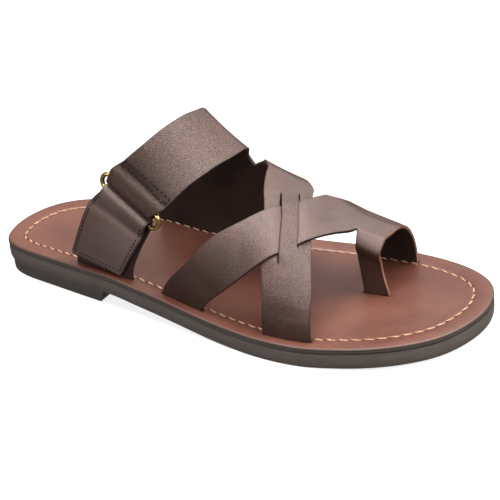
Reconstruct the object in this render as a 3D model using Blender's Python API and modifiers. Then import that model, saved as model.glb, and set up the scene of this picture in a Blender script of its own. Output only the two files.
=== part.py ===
"""Right-foot leather slipper with a toe loop, woven cross straps and a ring-and-tab side strap.

Metres, +Z up, +X to the toes, +Y to the inner (medial) side of the foot.
The origin is under the middle of the sole, on the floor.
"""
import math

import bmesh
import bpy
import numpy as np

for old in list(bpy.data.objects):
    bpy.data.objects.remove(old, do_unlink=True)

# Sole
SOLE_LENGTH = 0.285
BALL_WIDTH = 0.107
INSOLE = 0.0030
OUTSOLE = 0.0081
HEEL_SEAT = 0.0078          # floor to the outsole's underside at the heel
HEEL_LENGTH = 0.0845        # back of the heel to its breast
BREAST_RAKE = 0.0030        # how far the breast leans back at the floor
HEEL_INSET = 0.0009
DISH = 0.0013               # hollow of the footbed inside its stitched rim
RIM = 0.0100                # rim between the edge and the stitch line
EDGE = 0.0006               # broken corner of insole and outsole
GAP = 0.0003                # clearance between pieces that touch

# Upper
INSTEP_HEIGHT = 0.1050      # foot form over the insole at the instep
FORM_POWER = 2.3            # roundness of the foot form's cross-section
LEATHER = 0.0020
LATERAL_SEAT = 0.0055       # edge of the sole to the middle of a strap's slot
MEDIAL_SEAT = 0.0075
MEDIAL_TUCK = 0.0030         # how far the form stands inside the medial seat higher up
WEAVE_LIFT = 0.0008         # strip raised over, or dropped under, its neighbour
SLIT = 0.0012

# Ring, tab and toe strip
RING_WIRE = 0.0026
FOLD_SPACE = 0.0010         # daylight between the two leather folds on the ring
RING_ROOM = 0.0018          # strap edge to the ring's rounded end
FLAP = 0.0150               # end of the instep strap sewn back inside
TAB_GAP = 0.0006            # between leather that is folded back on itself
TAB_STANDOFF = LEATHER + TAB_GAP   # middle of the tab outside the anchor strap's
TOE_BEND = 0.0012           # how far the toe strip bows before it drops

# Sole outline, one row a section: place along the length, lateral and medial
# half-widths as shares of the ball width.
OUTLINE = [
    (0.018, 0.197, 0.182), (0.035, 0.245, 0.245), (0.070, 0.285, 0.318),
    (0.120, 0.308, 0.365), (0.190, 0.332, 0.378), (0.280, 0.362, 0.364),
    (0.370, 0.388, 0.357), (0.460, 0.421, 0.376), (0.550, 0.462, 0.423),
    (0.630, 0.491, 0.467), (0.700, 0.500, 0.493), (0.760, 0.484, 0.500),
    (0.820, 0.443, 0.492), (0.875, 0.380, 0.469), (0.925, 0.288, 0.429),
    (0.960, 0.188, 0.376), (0.985, 0.062, 0.300)]
HEEL_TIP, TOE_TIP = -0.005, 0.125      # sideways place of the two ends

# Underside of the outsole over the floor: place along, share of HEEL_SEAT.
UNDERSIDE = [
    (0.000, 1.000), (0.300, 1.000), (0.386, 0.700), (0.490, 0.350),
    (0.590, 0.085), (0.665, 0.000), (0.735, 0.000), (0.810, 0.115),
    (0.910, 0.215), (1.000, 0.235)]

# Foot form: place along, height as a share of INSTEP_HEIGHT, crest off the
# centre line as a share of BALL_WIDTH.
FORM = [
    (0.193, 1.334, 0.010), (0.298, 1.178, 0.038), (0.386, 0.999, 0.085),
    (0.456, 0.798, 0.122), (0.544, 0.598, 0.150), (0.667, 0.454, 0.178),
    (0.737, 0.358, 0.206), (0.860, 0.247, 0.244)]

# Strap edges on the foot form: turn around the form (0 lateral seat, 1 medial
# seat) and place along the length.
INSTEP_REAR = [
    (0.137, 0.326), (0.164, 0.344), (0.201, 0.372), (0.284, 0.410),
    (0.383, 0.4345), (0.450, 0.444), (0.504, 0.4525), (0.600, 0.450),
    (0.650, 0.443), (0.720, 0.416), (0.860, 0.335), (1.000, 0.275)]
INSTEP_FRONT = [
    (0.137, 0.432), (0.181, 0.457), (0.255, 0.483), (0.380, 0.514),
    (0.487, 0.529), (0.655, 0.538)]
FRONT_REAR = [
    (0.000, 0.667), (0.104, 0.666), (0.214, 0.649), (0.288, 0.635),
    (0.364, 0.619), (0.436, 0.594), (0.570, 0.560), (0.655, 0.552)]
FRONT_FRONT = [
    (0.000, 0.759), (0.165, 0.751), (0.292, 0.727), (0.410, 0.695),
    (0.475, 0.672), (0.581, 0.640), (0.750, 0.607), (1.000, 0.583)]
CROSS_REAR = [
    (0.000, 0.437), (0.092, 0.502), (0.212, 0.553), (0.295, 0.591),
    (0.362, 0.619), (0.471, 0.670), (0.588, 0.708), (0.750, 0.723),
    (1.000, 0.727)]
CROSS_FRONT = [
    (0.000, 0.532), (0.086, 0.591), (0.177, 0.636), (0.266, 0.674),
    (0.311, 0.694), (0.357, 0.712), (0.411, 0.735), (0.456, 0.759),
    (0.700, 0.768), (1.000, 0.770)]
LOOP_FRONT = [
    (0.456, 0.811), (0.526, 0.817), (0.600, 0.819), (0.800, 0.823),
    (1.000, 0.825)]
# Toe strip edges: share of the drop to the insole, places along.
TOE_STRIP = [
    (0.000, 0.759, 0.811), (0.250, 0.7635, 0.809), (0.450, 0.763, 0.808),
    (0.700, 0.767, 0.812), (1.000, 0.773, 0.822)]
TOE_STRIP_SIDE = 0.078       # its base off the centre line, share of BALL_WIDTH
# Anchor strap and tab: turn around the form, rear and front places along.
ANCHOR = [
    (0.000, 0.224, 0.363), (0.010, 0.228, 0.367), (0.035, 0.246, 0.382),
    (0.070, 0.272, 0.400), (0.100, 0.298, 0.414)]
TAB = [
    (0.003, 0.215, 0.347), (0.014, 0.226, 0.358), (0.030, 0.241, 0.372),
    (0.053, 0.259, 0.389), (0.073, 0.273, 0.401), (0.097, 0.291, 0.413),
    (0.112, 0.306, 0.418)]
TAB_END = (0.0095, 0.0022)   # turn of the tab's lower corners, rear and front
RING_LINE = [(0.3262, 0.1284), (0.4195, 0.1168)]   # place and turn of the fold line's ends
SLITS = [(0.360, 0.231, 0.443), (0.735, 0.307, 0.469)]   # share across, from, to

SIDE_POINTS = 36
HALF_LENGTH = SOLE_LENGTH / 2


def monotone(table, at, column=1):
    """Cubic through the rows of a table that never swings past them."""
    xs = np.array([row[0] for row in table], float)
    ys = np.array([row[column] for row in table], float)
    step = np.diff(xs)
    rise = np.diff(ys) / step
    slope = np.zeros(len(xs))
    slope[0], slope[-1] = rise[0], rise[-1]
    for i in range(1, len(xs) - 1):
        if rise[i - 1] * rise[i] > 0:
            a, b = 2 * step[i] + step[i - 1], step[i] + 2 * step[i - 1]
            slope[i] = (a + b) / (a / rise[i - 1] + b / rise[i])
    at = np.clip(np.asarray(at, float), xs[0], xs[-1])
    k = np.clip(np.searchsorted(xs, at, side="right") - 1, 0, len(xs) - 2)
    u = (at - xs[k]) / step[k]
    return ((1 + 2 * u) * (1 - u) ** 2 * ys[k] + u * (1 - u) ** 2 * step[k] * slope[k]
            + u * u * (3 - 2 * u) * ys[k + 1] + u * u * (u - 1) * step[k] * slope[k + 1])


def natural(table, at, column=1):
    """Natural cubic spline through the rows of a table, straight past its ends."""
    xs = np.array([row[0] for row in table], float)
    ys = np.array([row[column] for row in table], float)
    n, step = len(xs), np.diff(xs)
    system, right = np.eye(n), np.zeros(n)
    for i in range(1, n - 1):
        system[i, i - 1:i + 2] = step[i - 1], 2 * (step[i - 1] + step[i]), step[i]
        right[i] = 6 * ((ys[i + 1] - ys[i]) / step[i] - (ys[i] - ys[i - 1]) / step[i - 1])
    bend = np.linalg.solve(system, right)
    at = np.asarray(at, float)
    inside = np.clip(at, xs[0], xs[-1])
    k = np.clip(np.searchsorted(xs, inside, side="right") - 1, 0, n - 2)
    p, q, h = xs[k + 1] - inside, inside - xs[k], step[k]
    value = ((bend[k] * p ** 3 + bend[k + 1] * q ** 3) / (6 * h)
             + (ys[k] / h - bend[k] * h / 6) * p + (ys[k + 1] / h - bend[k + 1] * h / 6) * q)
    first = (ys[1] - ys[0]) / step[0] - step[0] * (2 * bend[0] + bend[1]) / 6
    last = (ys[-1] - ys[-2]) / step[-1] + step[-1] * (2 * bend[-1] + bend[-2]) / 6
    return value + np.minimum(at - xs[0], 0) * first + np.maximum(at - xs[-1], 0) * last


def closed_curve(points, count_each, splits):
    """Periodic cubic through the points, sampled evenly between the two split points."""
    pts = np.array(points, float)
    n = len(pts)
    chord = np.linalg.norm(np.roll(pts, -1, 0) - pts, axis=1) ** 0.75
    knot = np.concatenate([[0], np.cumsum(chord)])
    system, right = np.zeros((n, n)), np.zeros((n, 2))
    for i in range(n):
        before, after = chord[i - 1], chord[i]
        system[i, i - 1] += before
        system[i, i] += 2 * (before + after)
        system[i, (i + 1) % n] += after
        right[i] = 6 * ((pts[(i + 1) % n] - pts[i]) / after - (pts[i] - pts[i - 1]) / before)
    bend = np.linalg.solve(system, right)

    def at(t):
        k = min(int(np.searchsorted(knot, t, side="right")) - 1, n - 1)
        h, p, q, m = chord[k], knot[k + 1] - t, t - knot[k], (k + 1) % n
        return ((bend[k] * p ** 3 + bend[m] * q ** 3) / (6 * h)
                + (pts[k] / h - bend[k] * h / 6) * p + (pts[m] / h - bend[m] * h / 6) * q)

    out = []
    for a, b in ((knot[splits[0]], knot[splits[1]]), (knot[splits[1]], knot[-1])):
        fine = np.array([at(t) for t in np.linspace(a, b - 1e-12, 600)])
        run = np.concatenate([[0], np.cumsum(np.linalg.norm(np.diff(fine, axis=0), axis=1))])
        want = np.linspace(0, run[-1], count_each + 1)[:-1]
        out.append(np.stack([np.interp(want, run, fine[:, 0]),
                             np.interp(want, run, fine[:, 1])], 1))
    return np.vstack(out)


def outline():
    """Edge of the sole from the heel's end round the lateral side to the toe and back."""
    lateral = [(s * SOLE_LENGTH - HALF_LENGTH, -a * BALL_WIDTH) for s, a, _ in OUTLINE]
    medial = [(s * SOLE_LENGTH - HALF_LENGTH, b * BALL_WIDTH) for s, _, b in OUTLINE[::-1]]
    heel = (-HALF_LENGTH, HEEL_TIP * BALL_WIDTH)
    toe = (HALF_LENGTH, TOE_TIP * BALL_WIDTH)
    ring = [heel] + lateral + [toe] + medial
    return closed_curve(ring, SIDE_POINTS, (0, len(lateral) + 1))


SOLE_EDGE = outline()


def inward(edge, by):
    """The outline moved inward by a distance."""
    along = np.roll(edge, -1, 0) - np.roll(edge, 1, 0)
    along /= np.linalg.norm(along, axis=1)[:, None]
    return edge + by * np.stack([-along[:, 1], along[:, 0]], 1)


def edge_y(x, medial):
    """Sideways place of the sole's edge at a place along."""
    half = SOLE_EDGE[:SIDE_POINTS + 1] if not medial else \
        np.vstack([SOLE_EDGE[SIDE_POINTS:], SOLE_EDGE[:1]])[::-1]
    return np.interp(x, half[:, 0], half[:, 1])


def share(x):
    return (np.asarray(x, float) + HALF_LENGTH) / SOLE_LENGTH


def underside(x):
    return HEEL_SEAT * monotone(UNDERSIDE, share(x))


def footbed(x):
    """Height of the insole's rim."""
    return underside(x) + OUTSOLE + GAP + INSOLE


def form(x, turn):
    """A point on the foot form: turn 0 at the lateral seat, 1 at the medial seat."""
    s = share(x)
    height = INSTEP_HEIGHT * natural(FORM, s)
    crest = BALL_WIDTH * monotone(FORM, s, 2)
    low = edge_y(x, False) + LATERAL_SEAT
    c, v = math.cos(math.pi * turn), math.sin(math.pi * turn)
    high = edge_y(x, True) - MEDIAL_SEAT - MEDIAL_TUCK * max(v, 0.0)
    power = 2 / FORM_POWER
    side = crest - (crest - low) * abs(c) ** power if c >= 0 else \
        crest + (high - crest) * abs(c) ** power
    return np.array([x, side, footbed(x) + height * max(v, 0.0) ** power])


def form_normal(x, turn):
    """Outward direction of the foot form."""
    turn = min(max(turn, 0.004), 0.996)
    d = 0.0005
    along = form(x + d, turn) - form(x - d, turn)
    around = form(x, turn + 0.003) - form(x, turn - 0.003)
    n = np.cross(along, around)
    n = -n if np.dot(n, form(x, turn) - np.array([x, 0.0, footbed(x)])) < 0 else n
    return n / np.linalg.norm(n)


def on_form(place, turn, lift=0.0):
    x = place * SOLE_LENGTH - HALF_LENGTH
    return form(x, turn) + (lift - LEATHER / 2) * form_normal(x, turn)


def ease(v):
    v = min(max(v, 0.0), 1.0)
    return v * v * (3 - 2 * v)


def inside_band(s, soft):
    """1 inside 0..1, easing to 0 over a soft border outside it."""
    return ease(1 + s / soft) if s < 0 else ease(1 + (1 - s) / soft) if s > 1 else 1.0


# Scene containers
parts = bpy.data.collections.new("toe_loop_slipper")
tools = bpy.data.collections.new("cutters")
for group in (parts, tools):
    bpy.context.scene.collection.children.link(group)


def material(name, colour, roughness, metallic=0.0):
    mat = bpy.data.materials.new(name)
    mat.use_nodes = True
    shader = mat.node_tree.nodes["Principled BSDF"]
    shader.inputs["Base Color"].default_value = (*colour, 1.0)
    shader.inputs["Roughness"].default_value = roughness
    shader.inputs["Metallic"].default_value = metallic
    return mat


def finish(bm, name, mat=None, smooth=35):
    """Turn a bmesh into an object, as a part or as a cutter."""
    bmesh.ops.recalc_face_normals(bm, faces=bm.faces)
    mesh = bpy.data.meshes.new(name)
    bm.to_mesh(mesh)
    bm.free()
    obj = bpy.data.objects.new(name, mesh)
    if mat:
        parts.objects.link(obj)
        mesh.materials.append(mat)
        mesh.shade_smooth()
        mesh.set_sharp_from_angle(angle=math.radians(smooth))
    else:
        tools.objects.link(obj)
        obj.hide_render = True
        obj.display_type = "WIRE"
    return obj


def boolean(obj, other, operation):
    mod = obj.modifiers.new(operation.lower(), "BOOLEAN")
    mod.operation = operation
    mod.object = other
    mod.solver = "EXACT"


def thicken(obj, thickness):
    mod = obj.modifiers.new("leather", "SOLIDIFY")
    mod.thickness = thickness
    mod.offset = 0.0
    mod.use_even_offset = True


def plate(name, edge, top, bottom, mat, broken=EDGE):
    """A closed plate with the outline's shape; top and bottom are height functions
    of the place along and the distance in from the edge."""
    spine_x = np.clip(edge[:, 0], edge[:, 0].min() + 0.3 * BALL_WIDTH,
                      edge[:, 0].max() - 0.4 * BALL_WIDTH)
    middle = np.stack([spine_x, (edge_y(spine_x, False) + edge_y(spine_x, True)) / 2], 1)
    rings = [(edge, 0.0), (inward(edge, broken), broken), (inward(edge, RIM), RIM)]
    rings += [(middle + (rings[2][0] - middle) * k, 2 * RIM) for k in (0.62, 0.22)]
    bm = bmesh.new()
    layers = []
    for height, corner in ((top, -broken), (bottom, broken)):
        rows = []
        for k, (ring, depth) in enumerate(rings):
            rows.append([bm.verts.new((x, y, float(height(x, depth)) + (corner if k == 0 else 0)))
                         for x, y in ring])
        layers.append(rows)
    n = len(edge)
    for rows in layers:
        for a, b in zip(rows[:-1], rows[1:]):
            for i in range(n):
                bm.faces.new((a[i], a[(i + 1) % n], b[(i + 1) % n], b[i]))
        core = rows[-1]
        for i in range(n // 2):
            quad = [core[i], core[i + 1], core[(n - i - 1) % n], core[(n - i) % n]]
            seen = []
            for v in quad:
                if v not in seen:
                    seen.append(v)
            bm.faces.new(seen)
    a, b = layers[0][0], layers[1][0]
    for i in range(n):
        bm.faces.new((a[i], a[(i + 1) % n], b[(i + 1) % n], b[i]))
    return finish(bm, name, mat)


def weave_rows(bm, rows, holes=()):
    """Quads between rows of vertices, None marking what is missing."""
    for i in range(len(rows) - 1):
        for j in range(len(rows[i]) - 1):
            quad = (rows[i][j], rows[i][j + 1], rows[i + 1][j + 1], rows[i + 1][j])
            if (i, j) in holes or None in quad or len(set(quad)) < 4:
                continue
            bm.faces.new(quad)


def into_slot(bm, seats):
    """Straight rows that carry a strap down into its slot."""
    rows = [seats]
    for depth in (0.5, 1.0):
        rows.append([bm.verts.new((v.co.x, v.co.y, v.co.z - depth * (
            v.co.z - float(underside(v.co.x)) - OUTSOLE - GAP))) for v in seats])
    weave_rows(bm, rows)


# Sole
leather_board = material("insole_leather", (0.145, 0.050, 0.028), 0.45)
sole_brown = material("outsole_brown", (0.040, 0.028, 0.023), 0.55)
heel_brown = material("heel_brown", (0.030, 0.022, 0.018), 0.6)
strap_brown = material("strap_leather", (0.035, 0.014, 0.010), 0.4)
brass = material("ring_brass", (0.72, 0.50, 0.18), 0.25, 1.0)

insole = plate("insole", SOLE_EDGE,
               lambda x, d: footbed(x) - DISH * ease(d / RIM),
               lambda x, d: underside(x) + OUTSOLE + GAP, leather_board)
outsole = plate("outsole", SOLE_EDGE,
                lambda x, d: underside(x) + OUTSOLE,
                lambda x, d: underside(x), sole_brown)
heel = plate("heel_lift", inward(SOLE_EDGE, HEEL_INSET),
             lambda x, d: HEEL_SEAT - GAP,
             lambda x, d: 0.0, heel_brown)
cut = bmesh.new()
bmesh.ops.create_cube(cut, size=1.0)
front_room = SOLE_LENGTH
for v in cut.verts:
    lean = BREAST_RAKE * (0.5 - v.co.z) if v.co.x < 0 else 0.0
    v.co.x = (v.co.x + 0.5) * front_room + HEEL_LENGTH - HALF_LENGTH - lean
    v.co.y *= 2 * BALL_WIDTH
    v.co.z = (v.co.z + 0.5) * 3 * HEEL_SEAT - HEEL_SEAT
boolean(heel, finish(cut, "heel_breast_cut"), "DIFFERENCE")


# Where the straps cross
def across(rear, front, place, turn):
    a, b = float(monotone(rear, turn)), float(monotone(front, turn))
    return (place - a) / (b - a)


def slit_open(n, turn):
    """1 along a slit, easing to 0 at its two ends."""
    _, begin, end = SLITS[n]
    return ease((turn - begin) / 0.03) * ease((end - turn) / 0.03)


def front_strap_lift(place, turn, band):
    """The slit strap's bands go under, over and under the cross strap."""
    near = inside_band(across(CROSS_REAR, CROSS_FRONT, place, turn), 0.45)
    near *= ease((0.56 - turn) / 0.06)
    s = across(FRONT_REAR, FRONT_FRONT, place, turn)
    first, second = SLITS[0][0], SLITS[1][0]
    if band == 1:
        t = min(max((s - first) / (second - first), 0.0), 1.0)
        return WEAVE_LIFT * near * (slit_open(0, turn) * (1 - t) + slit_open(1, turn) * t)
    n = 0 if band == 0 else 1
    t = s / first if band == 0 else (1 - s) / (1 - second)
    t = min(max(t, 0.0), 1.0)
    return -WEAVE_LIFT * near * ((1 - t) + slit_open(n, turn) * t)


def cross_strap_lift(place, turn):
    s = across(FRONT_REAR, FRONT_FRONT, place, turn)
    if turn > 0.57:
        return 0.0
    first, second = SLITS[0][0], SLITS[1][0]
    waves = ((0.5 * first, 1.0), (0.5 * (first + second), -1.0), (0.5 * (1 + second), 1.0))
    knots = [(-0.45, 0.0)] + list(waves) + [(1.45, 0.0)]
    return WEAVE_LIFT * float(monotone(knots, s))


# Ring frame: the line between the two folds, the way up and the way out
line_a, line_b = on_form(*RING_LINE[0]), on_form(*RING_LINE[1])
ring_along = (line_b - line_a) / np.linalg.norm(line_b - line_a)
ring_out = form_normal((line_a[0] + line_b[0]) / 2, (RING_LINE[0][1] + RING_LINE[1][1]) / 2)
ring_out = ring_out - np.dot(ring_out, ring_along) * ring_along
ring_out /= np.linalg.norm(ring_out)
ring_up = np.cross(ring_out, ring_along)
ring_up = ring_up if ring_up[2] > 0 else -ring_up
FOLD_RADIUS = RING_WIRE / 2 + GAP + LEATHER / 2
BAR_SPREAD = FOLD_RADIUS + LEATHER / 2 + FOLD_SPACE / 2
strap_width = np.linalg.norm(line_b - line_a)


def bar_point(side, t):
    """Centre of the upper (+1) or lower (-1) bar, t from 0 at the rear to 1 at the front."""
    return line_a + (line_b - line_a) * t - ring_out * FOLD_RADIUS + ring_up * side * BAR_SPREAD


def curl(side, t, degrees):
    """On a fold round a bar: 0 outside, 180 inside, turning through the ring's middle."""
    a = math.radians(degrees)
    return bar_point(side, t) + FOLD_RADIUS * (ring_out * math.cos(a)
                                               - side * ring_up * math.sin(a))


# Rear sheet: instep strap, medial quarter and slit front strap in one wall
INSTEP_COLUMNS, BAND_COLUMNS = 7, 3
TURNS = [0.0, 0.012, 0.035, 0.065, 0.100, 0.137, 0.163, 0.195, 0.231, 0.258, 0.283, 0.307,
         0.335, 0.365, 0.395, 0.420, 0.443, 0.469, 0.500, 0.535, 0.575, 0.610, 0.655,
         0.705, 0.755, 0.805, 0.855, 0.900, 0.940, 0.970, 0.990, 1.0]
FOLD_ROW, NOTCH_ROW = TURNS.index(0.163), TURNS.index(0.655)

bm = bmesh.new()
rows, holes = [], set()
for i, turn in enumerate(TURNS):
    a = float(monotone(INSTEP_REAR, turn))
    b = float(monotone(INSTEP_FRONT, turn))
    c = float(monotone(FRONT_REAR, turn))
    d = float(monotone(FRONT_FRONT, turn))
    if i > NOTCH_ROW:
        apex = across(INSTEP_REAR, FRONT_FRONT, INSTEP_FRONT[-1][1], INSTEP_FRONT[-1][0])
        apex_end = across(INSTEP_REAR, FRONT_FRONT, FRONT_REAR[-1][1], FRONT_REAR[-1][0])
        b, c = a + (d - a) * apex, a + (d - a) * apex_end
    row = []
    for j in range(INSTEP_COLUMNS + 1):
        if i < FOLD_ROW:
            row.append(None)
        else:
            row.append(bm.verts.new(on_form(a + (b - a) * j / INSTEP_COLUMNS, turn)))
    slit_half = SLIT / 2 / SOLE_LENGTH
    marks = [c]
    for where, begin, end in SLITS:
        mid = c + (d - c) * where
        open_here = 0.35 + 0.65 * math.sin(math.pi * min(max((turn - begin) / (end - begin), 0), 1))
        marks += [mid - slit_half * open_here, mid + slit_half * open_here]
    marks.append(d)
    for k in range(5):
        p, q = marks[k], marks[k + 1]
        steps = 1 if k in (1, 3) else BAND_COLUMNS
        for j in range(steps if k < 4 else steps + 1):
            place = p + (q - p) * j / steps
            band = (k + 1) // 2 if j == 0 and k in (2, 4) else k // 2
            row.append(bm.verts.new(on_form(place, turn, front_strap_lift(place, turn, band))))
    if i < NOTCH_ROW:
        holes.add((i, INSTEP_COLUMNS))
    for n, (where, begin, end) in enumerate(SLITS):
        if begin <= turn < end:
            holes.add((i, INSTEP_COLUMNS + 1 + BAND_COLUMNS * (n + 1) + n))
    rows.append(row)
weave_rows(bm, rows, holes)
into_slot(bm, rows[-1])
into_slot(bm, rows[0][INSTEP_COLUMNS + 1:])

# The instep strap's end: round the ring's upper bar and back up inside
fold_rows = [rows[FOLD_ROW][:INSTEP_COLUMNS + 1]]
ts = [j / INSTEP_COLUMNS for j in range(INSTEP_COLUMNS + 1)]
for degrees in (0, 30, 60, 90, 120, 150, 180):
    fold_rows.append([bm.verts.new(curl(1, t, degrees)) for t in ts])
for reach in (0.35, 0.7, 1.0):
    turn = TURNS[FOLD_ROW] + reach * FLAP / INSTEP_HEIGHT * 0.33
    a, b = float(monotone(INSTEP_REAR, turn)), float(monotone(INSTEP_FRONT, turn))
    deep = LEATHER + TAB_GAP + (1 - ease(reach * 1.5)) * (2 * FOLD_RADIUS - LEATHER - TAB_GAP)
    fold_rows.append([bm.verts.new(on_form(a + (b - a) * (0.03 + 0.94 * t), turn, -deep))
                      for t in ts])
weave_rows(bm, fold_rows)
upper = finish(bm, "upper", strap_brown)
thicken(upper, LEATHER)

# Cross sheet: cross strap, toe loop and toe strip in one wall
CROSS_COLUMNS, LOOP_COLUMNS = 6, 4
TURNS = [0.0, 0.012, 0.035, 0.065, 0.100, 0.140, 0.180, 0.215, 0.245, 0.275, 0.300, 0.325,
         0.350, 0.375, 0.400, 0.428, 0.456, 0.490, 0.530, 0.575, 0.625, 0.680, 0.735,
         0.790, 0.840, 0.885, 0.925, 0.960, 0.985, 1.0]
LOOP_ROW = TURNS.index(0.456)
bm = bmesh.new()
rows = []
for i, turn in enumerate(TURNS):
    a, b = float(monotone(CROSS_REAR, turn)), float(monotone(CROSS_FRONT, turn))
    c = float(monotone(LOOP_FRONT, turn))
    row = []
    for j in range(CROSS_COLUMNS + 1):
        place = a + (b - a) * j / CROSS_COLUMNS
        row.append(bm.verts.new(on_form(place, turn, cross_strap_lift(place, turn))))
    for j in range(1, LOOP_COLUMNS + 1):
        row.append(bm.verts.new(on_form(b + (c - b) * j / LOOP_COLUMNS, turn))
                   if i >= LOOP_ROW else None)
    rows.append(row)
weave_rows(bm, rows)
into_slot(bm, rows[-1])
into_slot(bm, rows[0][:CROSS_COLUMNS + 1])

strip = [rows[LOOP_ROW][CROSS_COLUMNS:]]
tops = [np.array(v.co) for v in strip[0]]
for drop in (0.06, 0.13, 0.21, 0.30, 0.42, 0.56, 0.70, 0.85, 1.0):
    line = []
    for j, top in enumerate(tops):
        t = j / LOOP_COLUMNS
        rear = float(monotone(TOE_STRIP, drop, 1))
        front = float(monotone(TOE_STRIP, drop, 2))
        x = (rear + (front - rear) * t) * SOLE_LENGTH - HALF_LENGTH
        floor = float(footbed(x)) - DISH
        side = TOE_STRIP_SIDE * BALL_WIDTH
        bend = top[1] - (top[1] - side) * ease(drop / 0.3) - TOE_BEND * \
            math.sin(math.pi * min(drop / 0.45, 1.0))
        line.append(bm.verts.new((x, bend, top[2] - (top[2] - floor) * drop ** 1.25)))
    strip.append(line)
weave_rows(bm, strip)
into_slot(bm, strip[-1])
toe_seat = [tuple(v.co) for v in strip[-1]]
cross = finish(bm, "cross_sheet")
thicken(cross, LEATHER)
boolean(upper, cross, "UNION")

# Anchor strap: from its slot up inside, over the lower bar and down outside as the tab
ANCHOR_COLUMNS = 6
ts = [j / ANCHOR_COLUMNS for j in range(ANCHOR_COLUMNS + 1)]
bm = bmesh.new()


def ribbon_point(table, t, turn, lift):
    a, b = float(monotone(table, turn, 1)), float(monotone(table, turn, 2))
    return on_form(a + (b - a) * t, turn, lift)


anchor_rows = []
for turn in (0.0, 0.010, 0.025, 0.045, 0.070, 0.095):
    deep = -2 * FOLD_RADIUS * ease((turn - 0.02) / 0.085)
    anchor_rows.append([bm.verts.new(ribbon_point(ANCHOR, t, turn, deep)) for t in ts])
into_slot(bm, anchor_rows[0])
for degrees in (180, 150, 120, 90, 60, 30, 0):
    anchor_rows.append([bm.verts.new(curl(-1, t, degrees)) for t in ts])
for k in (0.20, 0.42, 0.62, 0.82, 1.0):
    line = []
    for t in ts:
        end = TAB_END[0] + (TAB_END[1] - TAB_END[0]) * t
        turn = 0.108 + (end - 0.108) * k
        line.append(bm.verts.new(ribbon_point(TAB, t, turn, TAB_STANDOFF * ease(k * 1.1))))
    anchor_rows.append(line)
weave_rows(bm, anchor_rows)
anchor = finish(bm, "anchor_strap", strap_brown)
thicken(anchor, LEATHER)

# Slots in the insole, a clearance wider than each strap
def slot_cutter(bm, seats):
    grow = LEATHER / 2 + GAP
    first, last = np.array(seats[0]), np.array(seats[-1])
    way = (last - first) / np.linalg.norm(last - first)
    line = [first - way * GAP] + [np.array(p) for p in seats[1:-1]] + [last + way * GAP]
    rows = []
    for high in (-INSOLE * 1.5, INSOLE * 1.5):
        rows.append([bm.verts.new((p[0], p[1], float(footbed(p[0])) + high)) for p in line])
    weave_rows(bm, rows)
    return grow


bm = bmesh.new()


def seat_line(rear, front, turn, count):
    a, b = float(monotone(rear, turn)), float(monotone(front, turn))
    return [tuple(on_form(a + (b - a) * j / count, turn)) for j in range(count + 1)]


quarter = [tuple(p) for p in seat_line(INSTEP_REAR, FRONT_FRONT, 1.0, 16)]
for seats in (quarter, seat_line(FRONT_REAR, FRONT_FRONT, 0.0, 8),
              seat_line(CROSS_REAR, CROSS_FRONT, 0.0, CROSS_COLUMNS),
              seat_line(CROSS_REAR, LOOP_FRONT, 1.0, 8),
              [tuple(ribbon_point(ANCHOR, t, 0.0, 0.0)) for t in ts], toe_seat):
    slot_cutter(bm, seats)
slots = finish(bm, "strap_slots")
thicken(slots, LEATHER + 2 * GAP)
boolean(insole, slots, "DIFFERENCE")

# Ring: a closed wire of two bars with rounded ends
ends, corner = [], 8
centre = (bar_point(1, 0.5) + bar_point(-1, 0.5)) / 2
half_bar = strap_width / 2 + RING_ROOM - BAR_SPREAD * 0.35
for side in (1, -1):
    for k in range(corner + 1):
        a = math.radians(-90 + 180 * k / corner)
        ends.append(centre + side * (ring_along * (half_bar + BAR_SPREAD * math.cos(a))
                                     + ring_up * BAR_SPREAD * math.sin(a)))
curve = bpy.data.curves.new("ring", "CURVE")
curve.dimensions = "3D"
curve.bevel_depth = RING_WIRE / 2
curve.bevel_resolution = 2
wire = curve.splines.new("POLY")
wire.points.add(len(ends) - 1)
for point, place in zip(wire.points, ends):
    point.co = (*place, 1.0)
wire.use_cyclic_u = True
ring = bpy.data.objects.new("ring", curve)
curve.materials.append(brass)
parts.objects.link(ring)
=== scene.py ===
# Leather slipper for the right foot: toe loop, woven cross straps, side strap folded on a brass ring.
# Metres, +X to the toes, +Y to the inner side of the foot, +Z up.
import math

import bmesh
import bpy
import numpy as np
from mathutils import Matrix, Vector


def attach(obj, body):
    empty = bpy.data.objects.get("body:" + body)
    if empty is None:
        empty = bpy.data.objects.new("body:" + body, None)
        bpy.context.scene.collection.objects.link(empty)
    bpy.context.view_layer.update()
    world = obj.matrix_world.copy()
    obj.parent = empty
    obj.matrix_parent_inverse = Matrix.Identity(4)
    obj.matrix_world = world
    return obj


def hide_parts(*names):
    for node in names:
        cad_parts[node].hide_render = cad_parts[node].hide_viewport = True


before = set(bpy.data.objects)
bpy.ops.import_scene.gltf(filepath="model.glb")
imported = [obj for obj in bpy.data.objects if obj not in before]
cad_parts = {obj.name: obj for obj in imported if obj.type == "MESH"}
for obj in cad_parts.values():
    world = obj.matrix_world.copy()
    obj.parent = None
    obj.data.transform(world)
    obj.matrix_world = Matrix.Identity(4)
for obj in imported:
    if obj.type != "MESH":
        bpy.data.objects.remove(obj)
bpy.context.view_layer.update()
print("frame loaded", sorted(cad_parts))

# sizes shared by all pieces, as in the solid model
shoe = dict(length=0.285, ballWidth=0.107, insole=0.0030, outsole=0.0081, heelSeat=0.0078,
            heelLength=0.0845, breastRake=0.0030, heelInset=0.0009, dish=0.0013, rim=0.0100,
            gap=0.0003, instepHeight=0.1050, formPower=2.3, leather=0.0020,
            lateralSeat=0.0055, medialSeat=0.0075, medialTuck=0.0030, sidePoints=220,
            girth=0.190)      # length of leather that a whole turn round the form takes
halfLength = shoe["length"] / 2

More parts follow.
